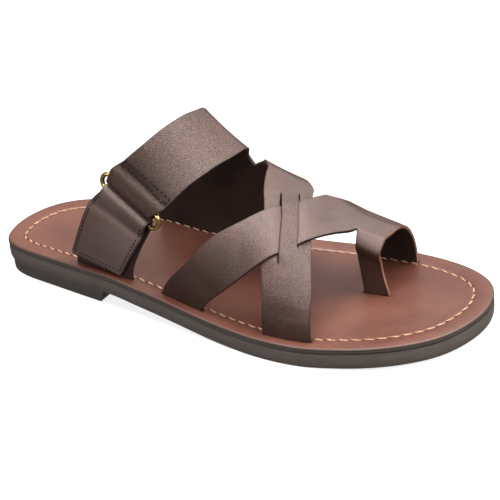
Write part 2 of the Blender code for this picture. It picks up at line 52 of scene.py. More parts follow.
# place along, lateral and medial half-widths as shares of the ball width
outlineRows = [
    (0.018, 0.197, 0.182), (0.035, 0.245, 0.245), (0.070, 0.285, 0.318),
    (0.120, 0.308, 0.365), (0.190, 0.332, 0.378), (0.280, 0.362, 0.364),
    (0.370, 0.388, 0.357), (0.460, 0.421, 0.376), (0.550, 0.462, 0.423),
    (0.630, 0.491, 0.467), (0.700, 0.500, 0.493), (0.760, 0.484, 0.500),
    (0.820, 0.443, 0.492), (0.875, 0.380, 0.469), (0.925, 0.288, 0.429),
    (0.960, 0.188, 0.376), (0.985, 0.062, 0.300)]
heelTip, toeTip = -0.005, 0.125
undersideRows = [
    (0.000, 1.000), (0.300, 1.000), (0.386, 0.700), (0.490, 0.350),
    (0.590, 0.085), (0.665, 0.000), (0.735, 0.000), (0.810, 0.115),
    (0.910, 0.215), (1.000, 0.235)]
# foot form: place along, height share, crest share
formRows = [
    (0.193, 1.334, 0.010), (0.298, 1.178, 0.038), (0.386, 0.999, 0.085),
    (0.456, 0.798, 0.122), (0.544, 0.598, 0.150), (0.667, 0.454, 0.178),
    (0.737, 0.358, 0.206), (0.860, 0.247, 0.244)]
# strap edges: turn round the form, place along
instepRear = [
    (0.137, 0.326), (0.164, 0.344), (0.201, 0.372), (0.284, 0.410),
    (0.383, 0.4345), (0.450, 0.4445), (0.504, 0.4505), (0.555, 0.4515), (0.600, 0.449),
    (0.650, 0.442), (0.720, 0.416), (0.860, 0.335), (1.000, 0.275)]
instepFront = [
    (0.137, 0.432), (0.181, 0.457), (0.255, 0.483), (0.380, 0.514),
    (0.487, 0.529), (0.560, 0.531), (0.600, 0.5275), (0.655, 0.5215),
    (0.700, 0.5165), (0.720, 0.5195), (0.735, 0.5245)]
frontRear = [
    (0.000, 0.667), (0.104, 0.666), (0.214, 0.649), (0.288, 0.635),
    (0.364, 0.619), (0.436, 0.594), (0.570, 0.560), (0.640, 0.5505),
    (0.680, 0.5414), (0.700, 0.5353), (0.720, 0.5290), (0.735, 0.5245)]
frontFront = [
    (0.000, 0.759), (0.165, 0.751), (0.292, 0.727), (0.410, 0.695),
    (0.475, 0.672), (0.581, 0.640), (0.750, 0.607), (1.000, 0.583)]
crossRear = [
    (0.000, 0.437), (0.092, 0.502), (0.212, 0.553), (0.295, 0.591),
    (0.362, 0.619), (0.471, 0.670), (0.588, 0.708), (0.750, 0.723),
    (1.000, 0.727)]
crossFront = [
    (0.000, 0.532), (0.086, 0.591), (0.177, 0.636), (0.266, 0.674),
    (0.311, 0.694), (0.357, 0.712), (0.411, 0.735), (0.456, 0.759),
    (0.700, 0.768), (1.000, 0.770)]
loopFront = [
    (0.456, 0.811), (0.526, 0.817), (0.600, 0.819), (0.800, 0.823),
    (1.000, 0.825)]
toeStripRows = [
    (0.000, 0.759, 0.811), (0.250, 0.7635, 0.809), (0.450, 0.763, 0.808),
    (0.700, 0.767, 0.812), (1.000, 0.773, 0.822)]
anchorRows = [
    (0.000, 0.224, 0.363), (0.010, 0.228, 0.367), (0.035, 0.246, 0.382),
    (0.070, 0.272, 0.400), (0.100, 0.298, 0.414)]
tabRows = [
    (0.003, 0.215, 0.347), (0.014, 0.226, 0.358), (0.030, 0.241, 0.372),
    (0.053, 0.259, 0.389), (0.073, 0.273, 0.401), (0.097, 0.291, 0.413),
    (0.112, 0.306, 0.418)]
slits = [(0.360, 0.231, 0.443), (0.735, 0.307, 0.469)]     # share across, from, to


# curves through the tables
def through(table, at, column=1):
    xs = np.array([row[0] for row in table], float)
    ys = np.array([row[column] for row in table], float)
    step = np.diff(xs)
    rise = np.diff(ys) / step
    slope = np.zeros(len(xs))
    slope[0], slope[-1] = rise[0], rise[-1]
    for i in range(1, len(xs) - 1):
        if rise[i - 1] * rise[i] > 0:
            a, b = 2 * step[i] + step[i - 1], step[i] + 2 * step[i - 1]
            slope[i] = (a + b) / (a / rise[i - 1] + b / rise[i])
    at = np.clip(np.asarray(at, float), xs[0], xs[-1])
    k = np.clip(np.searchsorted(xs, at, side="right") - 1, 0, len(xs) - 2)
    u = (at - xs[k]) / step[k]
    return ((1 + 2 * u) * (1 - u) ** 2 * ys[k] + u * (1 - u) ** 2 * step[k] * slope[k]
            + u * u * (3 - 2 * u) * ys[k + 1] + u * u * (u - 1) * step[k] * slope[k + 1])


def splineBends(xs, ys):
    n, step = len(xs), np.diff(xs)
    system, right = np.eye(n), np.zeros(n)
    for i in range(1, n - 1):
        system[i, i - 1:i + 2] = step[i - 1], 2 * (step[i - 1] + step[i]), step[i]
        right[i] = 6 * ((ys[i + 1] - ys[i]) / step[i] - (ys[i] - ys[i - 1]) / step[i - 1])
    return np.linalg.solve(system, right)


formX = np.array([row[0] for row in formRows])
formY = np.array([row[1] for row in formRows])
formBend = splineBends(formX, formY)


def formHeight(s):
    inside = np.clip(s, formX[0], formX[-1])
    k = np.clip(np.searchsorted(formX, inside, side="right") - 1, 0, len(formX) - 2)
    p, q, h = formX[k + 1] - inside, inside - formX[k], formX[k + 1] - formX[k]
    m, y = formBend, formY
    value = ((m[k] * p ** 3 + m[k + 1] * q ** 3) / (6 * h)
             + (y[k] / h - m[k] * h / 6) * p + (y[k + 1] / h - m[k + 1] * h / 6) * q)
    h0, h1 = formX[1] - formX[0], formX[-1] - formX[-2]
    first = (y[1] - y[0]) / h0 - h0 * (2 * m[0] + m[1]) / 6
    last = (y[-1] - y[-2]) / h1 + h1 * (2 * m[-1] + m[-2]) / 6
    return value + np.minimum(s - formX[0], 0) * first + np.maximum(s - formX[-1], 0) * last


def runAlong(points):
    # length along each row of points, starting at 0
    step = np.linalg.norm(np.diff(points, axis=-2), axis=-1)
    return np.concatenate([np.zeros_like(step[..., :1]), np.cumsum(step, axis=-1)], -1)


def pointsAt(line, want):
    run = runAlong(line)
    return np.stack([np.interp(want, run, line[:, k]) for k in range(line.shape[1])], 1)


def evenly(line, count):
    return pointsAt(line, np.linspace(0, runAlong(line)[-1], count))


def closedCurve(points, countEach, split):
    pts = np.array(points, float)
    n = len(pts)
    chord = np.linalg.norm(np.roll(pts, -1, 0) - pts, axis=1) ** 0.75
    knot = np.concatenate([[0], np.cumsum(chord)])
    system, right = np.zeros((n, n)), np.zeros((n, 2))
    for i in range(n):
        before, after = chord[i - 1], chord[i]
        system[i, i - 1] += before
        system[i, i] += 2 * (before + after)
        system[i, (i + 1) % n] += after
        right[i] = 6 * ((pts[(i + 1) % n] - pts[i]) / after - (pts[i] - pts[i - 1]) / before)
    bend = np.linalg.solve(system, right)

    def at(t):
        k = min(int(np.searchsorted(knot, t, side="right")) - 1, n - 1)
        h, p, q, m = chord[k], knot[k + 1] - t, t - knot[k], (k + 1) % n
        return ((bend[k] * p ** 3 + bend[m] * q ** 3) / (6 * h)
                + (pts[k] / h - bend[k] * h / 6) * p + (pts[m] / h - bend[m] * h / 6) * q)

    out = []
    for a, b in ((0.0, knot[split]), (knot[split], knot[-1])):
        fine = np.array([at(t) for t in np.linspace(a, b - 1e-12, 900)])
        out.append(evenly(fine, countEach + 1)[:-1])
    return np.vstack(out)


def placeX(s):
    return s * shoe["length"] - halfLength


width = shoe["ballWidth"]
lateralSide = [(placeX(s), -a * width) for s, a, _ in outlineRows]
medialSide = [(placeX(s), b * width) for s, _, b in outlineRows[::-1]]
soleEdge = closedCurve([(-halfLength, heelTip * width)] + lateralSide
                       + [(halfLength, toeTip * width)] + medialSide,
                       shoe["sidePoints"], len(lateralSide) + 1)
lateralEdge = soleEdge[:shoe["sidePoints"] + 1]
medialEdge = np.vstack([soleEdge[shoe["sidePoints"]:], soleEdge[:1]])[::-1]


def inward(edge, by):
    along = np.roll(edge, -1, 0) - np.roll(edge, 1, 0)
    along /= np.linalg.norm(along, axis=1)[:, None]
    return edge + by * np.stack([-along[:, 1], along[:, 0]], 1)


def lateralY(x):
    return np.interp(x, lateralEdge[:, 0], lateralEdge[:, 1])


def medialY(x):
    return np.interp(x, medialEdge[:, 0], medialEdge[:, 1])


def share(x):
    return (np.asarray(x, float) + halfLength) / shoe["length"]


def underside(x):
    return shoe["heelSeat"] * through(undersideRows, share(x))


def footbedRim(x):
    return underside(x) + shoe["outsole"] + shoe["gap"] + shoe["insole"]


def unit(v):
    return v / np.linalg.norm(v)


def edgesAt(turn, *tables):
    return [float(through(table, turn)) for table in tables]


def ease(v):
    v = np.clip(v, 0.0, 1.0)
    return v * v * (3 - 2 * v)


def form(x, turn):
    # x and turn are arrays of one shape; the result has a last axis of 3
    s = share(x)
    height = shoe["instepHeight"] * formHeight(s)
    crest = width * through(formRows, s, 2)
    low, high = lateralY(x) + shoe["lateralSeat"], medialY(x) - shoe["medialSeat"]
    c, v = np.cos(np.pi * turn), np.maximum(np.sin(np.pi * turn), 0.0)
    power = 2 / shoe["formPower"]
    high = high - shoe["medialTuck"] * v
    side = np.where(c >= 0, crest - (crest - low) * np.abs(c) ** power,
                    crest + (high - crest) * np.abs(c) ** power)
    return np.stack([x + 0 * turn, side, footbedRim(x) + height * v ** power], -1)


def formNormal(x, turn):
    t = np.clip(turn, 0.004, 0.996)
    along = form(x + 0.0005, t) - form(x - 0.0005, t)
    around = form(x, t + 0.003) - form(x, t - 0.003)
    n = np.cross(along, around)
    n /= np.linalg.norm(n, axis=-1, keepdims=True)
    middle = np.stack([x + 0 * t, 0 * t, footbedRim(x) + 0 * t], -1)
    flip = np.sum(n * (form(x, t) - middle), -1, keepdims=True) < 0
    return np.where(flip, -n, n)


def onForm(place, turn, lift=0.0):
    place, turn = np.broadcast_arrays(np.asarray(place, float), np.asarray(turn, float))
    x = placeX(place)
    lift = np.broadcast_to(np.asarray(lift, float), x.shape)
    return form(x, turn) + (lift - shoe["leather"] / 2)[..., None] * formNormal(x, turn)


# troughs worn or pressed into the straps: from, to (place, turn), half-width, depth;
# a negative depth is a soft ridge
creases = [
    ((0.343, 0.1785), (0.452, 0.1785), 0.0021, 0.00110),
    ((0.366, 0.191), (0.458, 0.197), 0.0016, 0.00025),
    ((0.370, 0.262), (0.440, 0.272), 0.0050, -0.00020), ((0.450, 0.400), (0.500, 0.350), 0.0060, 0.00030),
    ((0.462, 0.470), (0.512, 0.440), 0.0050, -0.00020), ((0.565, 0.055), (0.510, 0.085), 0.0040, 0.00030),
    ((0.480, 0.040), (0.550, 0.020), 0.0035, -0.00025), ((0.680, 0.070), (0.742, 0.095), 0.0045, 0.00030),
    ((0.675, 0.130), (0.738, 0.150), 0.0050, -0.00025), ((0.595, 0.500), (0.655, 0.455), 0.0040, 0.00025),
    ((0.690, 0.420), (0.730, 0.480), 0.0035, 0.00040), ((0.722, 0.465), (0.785, 0.500), 0.0040, -0.00030),
    ((0.735, 0.560), (0.805, 0.545), 0.0040, 0.00030), ((0.740, 0.640), (0.810, 0.655), 0.0045, -0.00025),
    ((0.745, 0.740), (0.812, 0.770), 0.0045, 0.00030)]
creaseEnds = 0.35                # share of its depth that a trough keeps at its ends


def crease(place, turn):
    place, turn = np.broadcast_arrays(np.asarray(place, float), np.asarray(turn, float))
    flat = np.stack([place * shoe["length"], turn * shoe["girth"]], -1)
    depth = np.zeros(place.shape)
    for start, end, halfWidth, deep in creases:
        a, b = (np.array([p[0] * shoe["length"], p[1] * shoe["girth"]]) for p in (start, end))
        t = np.sum((flat - a) * (b - a), -1) / np.dot(b - a, b - a)
        off = np.linalg.norm(flat - a - np.clip(t, 0, 1)[..., None] * (b - a), axis=-1)
        swell = creaseEnds + (1 - creaseEnds) * np.sin(np.pi * np.clip(t, 0, 1))
        depth += deep * swell * np.exp(-(off / halfWidth) ** 2)
    return depth


def across(rear, front, place, turn):
    a, b = through(rear, turn), through(front, turn)
    return (place - a) / (b - a)


def nearBand(s, soft):
    return np.where(s < 0, ease(1 + s / soft), np.where(s > 1, ease(1 + (1 - s) / soft), 1.0))


print("outline and foot form ready")


# shader maths
def feed(tree, target, value):
    # a link or a constant for one input of a node
    value = value.socket if isinstance(value, Val) else value
    if isinstance(value, bpy.types.NodeSocket):
        tree.links.new(value, target)
    else:
        target.default_value = value


class Val:
    # a socket that can be used in an expression
    def __init__(self, mat, socket):
        self.mat, self.socket = mat, socket

    def math(self, operation, other):
        return self.mat.add("ShaderNodeMath", {"operation": operation}, {0: self, 1: other})

    def __add__(self, o): return self.math("ADD", o)
    def __radd__(self, o): return self.math("ADD", o)
    def __mul__(self, o): return self.math("MULTIPLY", o)
    def __rmul__(self, o): return self.math("MULTIPLY", o)
    def __sub__(self, o): return self.math("SUBTRACT", o)
    def __rsub__(self, o): return (self * -1.0) + o

    def between(self, low, high):
        return self.mat.add("ShaderNodeMapRange", {"interpolation_type": "SMOOTHSTEP"},
                            {"Value": self, "From Min": low, "From Max": high,
                             "To Min": 0.0, "To Max": 1.0})


class Finish:
    # one material and its node tree
    def __init__(self, name):
        self.material = bpy.data.materials.new(name)
        self.material.use_nodes = True
        self.tree = self.material.node_tree
        self.shader = self.tree.nodes["Principled BSDF"]
        self.place = self.add("ShaderNodeTexCoord", {}, {}, "Object")

    def add(self, kind, settings, links, output=0):
        node = self.tree.nodes.new(kind)
        for key, value in settings.items():
            setattr(node, key, value)
        for key, value in links.items():
            feed(self.tree, node.inputs[key], value)
        return Val(self, node.outputs[output])

    def noise(self, scale, detail=2.0, rough=0.5, where=None):
        return self.add("ShaderNodeTexNoise", {}, {"Vector": where or self.place, "Scale": scale,
                                                   "Detail": detail, "Roughness": rough})

    def cells(self, scale, where):
        return self.add("ShaderNodeTexVoronoi", {"feature": "DISTANCE_TO_EDGE"},
                        {"Vector": where, "Scale": scale})

    def attribute(self, name):
        return self.add("ShaderNodeAttribute", {"attribute_name": name}, {}, "Fac")

    def warp(self, scale, amount):
        soft = self.add("ShaderNodeTexNoise", {}, {"Vector": self.place, "Scale": scale}, "Color")
        shift = self.add("ShaderNodeVectorMath", {"operation": "SCALE"}, {0: soft, "Scale": amount})
        return self.add("ShaderNodeVectorMath", {"operation": "ADD"}, {0: self.place, 1: shift})

    def blend(self, factor, one, two, mode="MIX"):
        a = (*one, 1.0) if isinstance(one, tuple) else one
        b = (*two, 1.0) if isinstance(two, tuple) else two
        return self.add("ShaderNodeMix", {"data_type": "RGBA", "blend_type": mode},
                        {0: factor, 6: a, 7: b}, 2)

    def bump(self, height, distance, strength=1.0, before=None):
        links = {"Height": height, "Distance": distance, "Strength": strength}
        if before:
            links["Normal"] = before
        return self.add("ShaderNodeBump", {}, links)

    def set(self, **values):
        for key, value in values.items():
            feed(self.tree, self.shader.inputs[key.replace("_", " ")],
                 (*value, 1.0) if isinstance(value, tuple) else value)
        return self.material


warmGloss = (1.0, 0.84, 0.77)


def strapLeather(name, look):
    # dark dyed leather: pebbled grain, cloudy dye, darker burnished edges
    m = Finish(name)
    cloud = m.noise(look["cloudScale"], 3.0)
    speck = m.noise(900.0, 2.0)
    edge = 1.0 - m.attribute("edgeDistance").between(0.0, look["edgeWidth"])
    colour = m.blend(cloud.between(0.30, 0.72), look["dark"], look["light"])
    colour = m.blend(speck.between(0.35, 0.80) * 0.25, colour, look["dark"])
    colour = m.blend(edge * look["edgeDark"], colour, look["edge"])
    where = m.warp(420.0, 0.0006)
    pebble = m.cells(look["grainScale"], where).between(0.0, 0.32)
    pores = m.noise(2600.0, 2.0)
    soft = m.noise(170.0, 3.0)
    normal = m.bump(soft, 0.00035, 0.35)
    normal = m.bump(pebble * 0.8 + pores * 0.35, look["grainDepth"], 1.0, normal)
    rough = look["rough"] + (cloud - 0.5) * 0.12 + (1.0 - pebble) * 0.10 + edge * 0.08
    return m.set(Base_Color=colour, Roughness=rough, Normal=normal,
                 Specular_IOR_Level=look["specular"], Specular_Tint=warmGloss)


def plainLeather(name, dark, light, rough, fibre=0.0002):
    # flesh side and cut edges
    m = Finish(name)
    cloud = m.noise(120.0, 4.0)
    nap = m.noise(1900.0, 3.0, 0.7)
    colour = m.blend(cloud.between(0.3, 0.7), dark, light)
    colour = m.blend(nap.between(0.35, 0.75) * 0.35, colour, dark)
    return m.set(Base_Color=colour, Roughness=rough + (nap - 0.5) * 0.1,
                 Normal=m.bump(nap, fibre, 0.6), Specular_IOR_Level=0.35)


strapLook = dict(dark=(0.017, 0.0062, 0.0040), light=(0.033, 0.0132, 0.0088), edge=(0.008, 0.004, 0.003),
                 edgeWidth=0.0014, edgeDark=0.75, cloudScale=38.0, grainScale=1500.0,
                 grainDepth=0.00012, rough=0.36, specular=0.55)
# painted reflection: the tab's base colour is made lighter than the straps' to stand for the pale floor
# it would reflect; its smoother grain is its own
tabLookWithPaintedReflection = dict(strapLook, grainDepth=0.00003, rough=0.34, dark=(0.066, 0.0400, 0.0350),
               light=(0.094, 0.0610, 0.0550), edgeWidth=0.0022, edgeDark=0.65)
strapFace = strapLeather("strap_leather_grain", strapLook)
crossFace = strapLeather("cross_strap_leather", dict(strapLook, grainDepth=0.00007))
tabFaceWithPaintedReflection = strapLeather("tab_leather_smooth_painted_reflection", tabLookWithPaintedReflection)
strapBack = plainLeather("strap_leather_back", (0.016, 0.0065, 0.0050), (0.028, 0.0120, 0.0090), 0.62)
strapRim = plainLeather("strap_cut_edge", (0.012, 0.0060, 0.0050), (0.028, 0.0130, 0.0100), 0.55)
toeRim = plainLeather("toe_loop_cut_edge", (0.080, 0.034, 0.021), (0.220, 0.105, 0.066), 0.6)


def footbedLeather():
    m = Finish("insole_chestnut")
    look = dict(dark=(0.050, 0.0155, 0.0095), light=(0.086, 0.0300, 0.0190))
    cloud = m.noise(20.0, 4.0, 0.55)
    fine = m.noise(260.0, 4.0, 0.6)
    edge = 1.0 - m.attribute("edgeDistance").between(0.0, 0.0022)
    channel = m.attribute("channel")
    colour = m.blend(cloud.between(0.32, 0.70), look["dark"], look["light"])
    colour = m.blend(fine.between(0.40, 0.75) * 0.30, colour, (0.040, 0.012, 0.008))
    # painted shade: the colour is darkened along the stitch channel, where shade falls in its groove
    colour = m.blend(channel * 0.45, colour, (0.024, 0.008, 0.005))
    colour = m.blend(edge * 0.75, colour, (0.030, 0.014, 0.010))
    pores = m.noise(1800.0, 3.0)
    grain = m.cells(1500.0, m.warp(500.0, 0.0005)).between(0.0, 0.3)
    normal = m.bump(cloud, 0.0006, 0.25)
    normal = m.bump(grain * 0.4 + pores * 0.6, 0.00004, 1.0, normal)
    rough = 0.36 + (cloud - 0.5) * 0.14 + edge * 0.12
    return m.set(Base_Color=colour, Roughness=rough, Normal=normal, Specular_IOR_Level=0.5,
                 Specular_Tint=warmGloss)


def paintedEdge(name, dark, light, streak=0.5):
    # sanded and painted side of a sole: faint lengthwise streaks
    m = Finish(name)
    flat = m.add("ShaderNodeMapping", {"vector_type": "POINT"},
                 {"Vector": m.place, "Scale": (1.0, 1.0, 14.0)})
    lines = m.noise(70.0, 3.0, 0.6, where=flat)
    cloud = m.noise(45.0, 3.0)
    dust = m.noise(1400.0, 2.0)
    colour = m.blend(lines.between(0.3, 0.7) * streak + cloud * (1 - streak), dark, light)
    colour = m.blend(dust.between(0.55, 0.8) * 0.25, colour, light)
    colour = m.blend(m.attribute("trim") * 0.8, colour, (0.012, 0.007, 0.006))
    normal = m.bump(lines, 0.00018, 0.5)
    normal = m.bump(dust, 0.00005, 0.8, normal)
    return m.set(Base_Color=colour, Roughness=0.50 + (cloud - 0.5) * 0.15, Normal=normal,
                 Specular_IOR_Level=0.5)


def brass():
    m = Finish("ring_polished_brass")
    wear = m.noise(220.0, 4.0)
    scratch = m.noise(900.0, 2.0, where=m.add("ShaderNodeMapping", {}, {
        "Vector": m.place, "Scale": (1.0, 6.0, 1.0)}))
    colour = m.blend(wear.between(0.35, 0.7), (0.46, 0.28, 0.09), (0.66, 0.45, 0.19))
    return m.set(Base_Color=colour, Metallic=1.0, Roughness=0.20 + wear * 0.12,
                 Normal=m.bump(scratch, 0.00002, 0.6))


def thread(name, dark, light, rough):
    m = Finish(name)
    twist = m.add("ShaderNodeTexWave", {"wave_type": "BANDS", "bands_direction": "DIAGONAL"},
                  {"Vector": m.place, "Scale": 900.0, "Distortion": 1.5})
    spots = m.noise(700.0, 3.0)
    colour = m.blend(spots.between(0.3, 0.7), dark, light)
    return m.set(Base_Color=colour, Roughness=rough, Normal=m.bump(twist, 0.00008, 0.7),
                 Specular_IOR_Level=0.2)


insoleTop = footbedLeather()
soleSide = paintedEdge("outsole_side_brown", (0.058, 0.044, 0.037), (0.098, 0.079, 0.069))
heelSide = paintedEdge("heel_side_brown", (0.036, 0.028, 0.023), (0.062, 0.050, 0.042))
brassFinish = brass()
creamThread = thread("cream_thread", (0.19, 0.095, 0.052), (0.36, 0.215, 0.130), 0.7)
# dark thread made near black: partly the thread's own colour and partly painted shade of the stitch holes
darkThreadAndHoleShade = thread("dark_thread_and_painted_hole_shade", (0.0025, 0.0018, 0.0015), (0.007, 0.0045, 0.0035), 0.75)
# painted shade: dark blobs along the footbed seam stand for the shade inside the needle holes
holeShadeFinish = plainLeather("needle_hole_painted_shade", (0.006, 0.003, 0.002), (0.012, 0.005, 0.004), 0.9)
print("materials ready")


# mesh helpers
def settle(obj):
    # apply the modifiers, so that the piece is one plain mesh
    deps = bpy.context.evaluated_depsgraph_get()
    mesh = bpy.data.meshes.new_from_object(obj.evaluated_get(deps), depsgraph=deps)
    obj.modifiers.clear()
    old = obj.data
    obj.data = mesh
    bpy.data.meshes.remove(old)
    mesh.name = obj.name
    return obj


def newObject(name, bm, materials):
    mesh = bpy.data.meshes.new(name)
    bm.to_mesh(mesh)
    bm.free()
    obj = bpy.data.objects.new(name, mesh)
    bpy.context.scene.collection.objects.link(obj)
    for mat in materials:
        mesh.materials.append(mat)
    return obj


sheet = dict(turnStep=0.0065, notchStep=0.003, instepColumns=26, bandColumns=7, crossColumns=20,
             loopColumns=11, seatTurns=(0.0, 0.0015, 0.004), farInside=0.02,
             notchTurns=(0.690, 0.720))


def vertexGrid(bm, points, distance=None):
    # vertices for an array of points; the distance from a cut edge goes into edgeDistance
    layer = bm.verts.layers.float.get("edgeDistance") or bm.verts.layers.float.new("edgeDistance")
    rows = [[bm.verts.new(p) for p in row] for row in points]
    for i, row in enumerate(rows):
        for j, v in enumerate(row):
            v[layer] = sheet["farInside"] if distance is None else float(distance[i, j])
    return rows


def addFace(bm, corners, slot=0):
    # corners that fall together are taken once
    corners = list(dict.fromkeys(corners))
    if len(corners) > 2:
        face = bm.faces.new(corners)
        face.smooth, face.material_index = True, slot


def faceGrid(bm, rows):
    for a, b in zip(rows[:-1], rows[1:]):
        for j in range(len(a) - 1):
            addFace(bm, (a[j], a[j + 1], b[j + 1], b[j]))


def dropLoose(bm):
    bmesh.ops.delete(bm, geom=[v for v in bm.verts if not v.link_faces], context="VERTS")


def spread(keys, step):
    # values from the first key to the last that pass through each key
    out = [keys[0]]
    for a, b in zip(keys[:-1], keys[1:]):
        n = max(1, int(math.ceil((b - a) / step)))
        out += [a + (b - a) * k / n for k in range(1, n)] + [b]
    return out


def withSeats(turns):
    # closer rows at both ends, where a sheet bends into its slots
    low = sheet["seatTurns"]
    return [*low] + [t for t in turns if 0.005 < t < 0.995] + [1 - t for t in low[::-1]]


def sideDistance(points):
    # distance to the nearer side edge along each row of a grid
    run = runAlong(points)
    return np.minimum(run, run[:, -1:] - run)


def intoSlot(row):
    # rows that take a strap's end straight down into its slot
    depth = row[:, 2] - underside(row[:, 0]) - shoe["outsole"] - shoe["gap"]
    down = np.stack([0 * depth, 0 * depth, depth], 1)
    return np.array([row - down * k for k in (0.25, 0.5, 0.75, 1.0)])


def sinkRow(bm, row):
    faceGrid(bm, [row] + vertexGrid(bm, intoSlot(np.array([tuple(v.co) for v in row]))))


# footbed
spineEnds = (0.3, 0.4)           # heel and toe ends of the middle line, as shares of the width
plateCore = (0.5, 0.12)          # rings of a plain plate between its edge and the middle line


def plateRings(insets, shares):
    # closed lines inside the sole's outline, each with its depth from it: first the insets,
    # then shares of what is left
    x = soleEdge[:, 0]
    x = np.clip(x, x.min() + spineEnds[0] * width, x.max() - spineEnds[1] * width)
    spine = np.stack([x, (lateralY(x) + medialY(x)) / 2], 1)
    rings = [(inward(soleEdge, d), d) for d in insets]
    last = rings[-1][0]
    return rings + [(spine + (last - spine) * k, insets[-1] + (1 - k) * sheet["farInside"])
                    for k in shares]


def closeMiddle(bm, core, slot):
    n = len(core)
    for i in range(n // 2):
        addFace(bm, (core[i], core[i + 1], core[(n - i - 1) % n], core[(n - i) % n]), slot)


def loopFaces(bm, rings, slot):
    for a, b in zip(rings[:-1], rings[1:]):
        n = len(a)
        for i in range(n):
            addFace(bm, (a[i], a[(i + 1) % n], b[(i + 1) % n], b[i]), slot)


footbed = dict(corner=0.0008, channelWidth=0.0006, channelDepth=0.00035, channelShade=0.0007,
               hollowFrom=0.003, hollowRun=0.011,
               insets=(0.00005, 0.0002, 0.0005, 0.0009, 0.0016, 0.003, 0.005, 0.007, 0.0086, 0.0093,
                       0.0097, 0.0100, 0.0103, 0.0107, 0.0114, 0.013),
               shares=(0.9, 0.8, 0.7, 0.6, 0.5, 0.4, 0.3, 0.2, 0.1),
               side=((0.0022, 1.0), (0.0018, 0.85), (0.0014, 0.1), (0.0, 0.0)))     # height, trim


def footbedTop(x, depth):
    # height of the footbed: rounded rim, stitch channel and the hollow inside it
    corner, rim = footbed["corner"], shoe["rim"]
    drop = np.where(depth < corner, corner - np.sqrt(np.maximum(
        corner ** 2 - (corner - depth) ** 2, 0)), 0.0)
    hollow = shoe["dish"] * ease((depth - footbed["hollowFrom"]) / footbed["hollowRun"])
    groove = footbed["channelDepth"] * np.exp(-((depth - rim) / footbed["channelWidth"]) ** 2)
    return footbedRim(x) - drop - hollow - groove


def makeFootbed():
    bm = bmesh.new()
    layers = {name: bm.verts.layers.float.new(name) for name in ("edgeDistance", "channel", "trim")}

    def row(line, height, **marks):
        verts = [bm.verts.new((x, y, float(height(x)))) for x, y in line]
        for v in verts:
            for name, value in marks.items():
                v[layers[name]] = value
        return verts

    def under(x):
        return footbedRim(x) - shoe["insole"]

    rings = [row(line, lambda x: footbedTop(x, depth), edgeDistance=depth,
                 channel=math.exp(-((depth - shoe["rim"]) / footbed["channelShade"]) ** 2))
             for line, depth in plateRings(footbed["insets"], footbed["shares"])]
    sides = [row(soleEdge, lambda x: under(x) + high, trim=dark) for high, dark in footbed["side"]]
    bottom = [row(line, under) for line, _ in plateRings((0.004, 0.02), plateCore)]
    loopFaces(bm, rings, 0)
    closeMiddle(bm, rings[-1], 0)
    loopFaces(bm, [rings[0]] + sides, 1)
    loopFaces(bm, [sides[-1]] + bottom, 1)
    closeMiddle(bm, bottom[-1], 1)
    bmesh.ops.recalc_face_normals(bm, faces=bm.faces)
    return newObject("footbed", bm, [insoleTop, soleSide])


footbedPiece = makeFootbed()


def slotLine(rear, front, turn):
    return onForm(np.linspace(*edgesAt(turn, rear, front), 25), turn)


# rear sheet: instep strap, medial quarter and slit front strap
weave = dict(lift=0.00100, slit=0.0007, soft=0.45, slitRamp=0.03, slitRound=6, frontEnd=0.56,
             frontRamp=0.06, crossEnd=0.57)
ring = dict(wire=0.0026, foldSpace=0.0010, room=0.0018, roll=0.0010, rollRun=0.012,
            foldTurn=0.163, line=((0.3262, 0.1284), (0.4195, 0.1168)),
            flap=0.0150, flapTurn=0.33, flapGap=0.0006, flapInset=0.03, flapClose=1.5, sector=12,
            barTrim=0.35)
foldRadius = ring["wire"] / 2 + shoe["gap"] + shoe["leather"] / 2
barSpread = foldRadius + shoe["leather"] / 2 + ring["foldSpace"] / 2
lineA, lineB = onForm(*ring["line"][0]), onForm(*ring["line"][1])
ringAlong = unit(lineB - lineA)
ringOut = formNormal((lineA[0] + lineB[0]) / 2, (ring["line"][0][1] + ring["line"][1][1]) / 2)
ringOut = unit(ringOut - np.dot(ringOut, ringAlong) * ringAlong)
ringUp = np.cross(ringOut, ringAlong)
ringUp = ringUp if ringUp[2] > 0 else -ringUp


def barPoint(side, t):
    t = np.asarray(t, float)[..., None]
    return lineA + (lineB - lineA) * t - ringOut * foldRadius + ringUp * side * barSpread


def curl(side, t, degrees):
    # round a bar of the ring, with the outer face of the fold a little swollen
    a = math.radians(degrees)
    reach = foldRadius + ring["roll"] * max(0.0, math.cos(a))
    return barPoint(side, t) + reach * (ringOut * math.cos(a) - side * ringUp * math.sin(a))


def slitOpen(n, turn):
    _, begin, end = slits[n]
    return ease((turn - begin) / weave["slitRamp"]) * ease((end - turn) / weave["slitRamp"])


def frontStrapLift(place, turn, band):
    near = nearBand(across(crossRear, crossFront, place, turn), weave["soft"])
    near = near * ease((weave["frontEnd"] - turn) / weave["frontRamp"])
    s = across(frontRear, frontFront, place, turn)
    first, second = slits[0][0], slits[1][0]
    if band == 1:
        t = np.clip((s - first) / (second - first), 0, 1)
        return weave["lift"] * near * (slitOpen(0, turn) * (1 - t) + slitOpen(1, turn) * t)
    n = 0 if band == 0 else 1
    t = np.clip(s / first if band == 0 else (1 - s) / (1 - second), 0, 1)
    return -weave["lift"] * near * ((1 - t) + slitOpen(n, turn) * t)


def crossStrapLift(place, turn):
    s = across(frontRear, frontFront, place, turn)
    first, second = slits[0][0], slits[1][0]
    knots = [(-weave["soft"], 0.0), (0.5 * first, 1.0), (0.5 * (first + second), -1.0),
             (0.5 * (1 + second), 1.0), (1 + weave["soft"], 0.0)]
    return np.where(turn > weave["crossEnd"], 0.0, weave["lift"] * through(knots, s))


def bandEdges(turn, rear, front):
    # the edges of the three bands that the two slits make of the front strap
    marks = [rear]
    for where, begin, end in slits:
        u = np.clip((turn - begin) / (end - begin), 0, 1)
        half = weave["slit"] / 2 / shoe["length"] * min(1.0, weave["slitRound"] * math.sqrt(u * (1 - u)))
        mid = rear + (front - rear) * where
        marks += [mid - half, mid + half]
    return zip(marks[::2], marks[1::2] + [front])


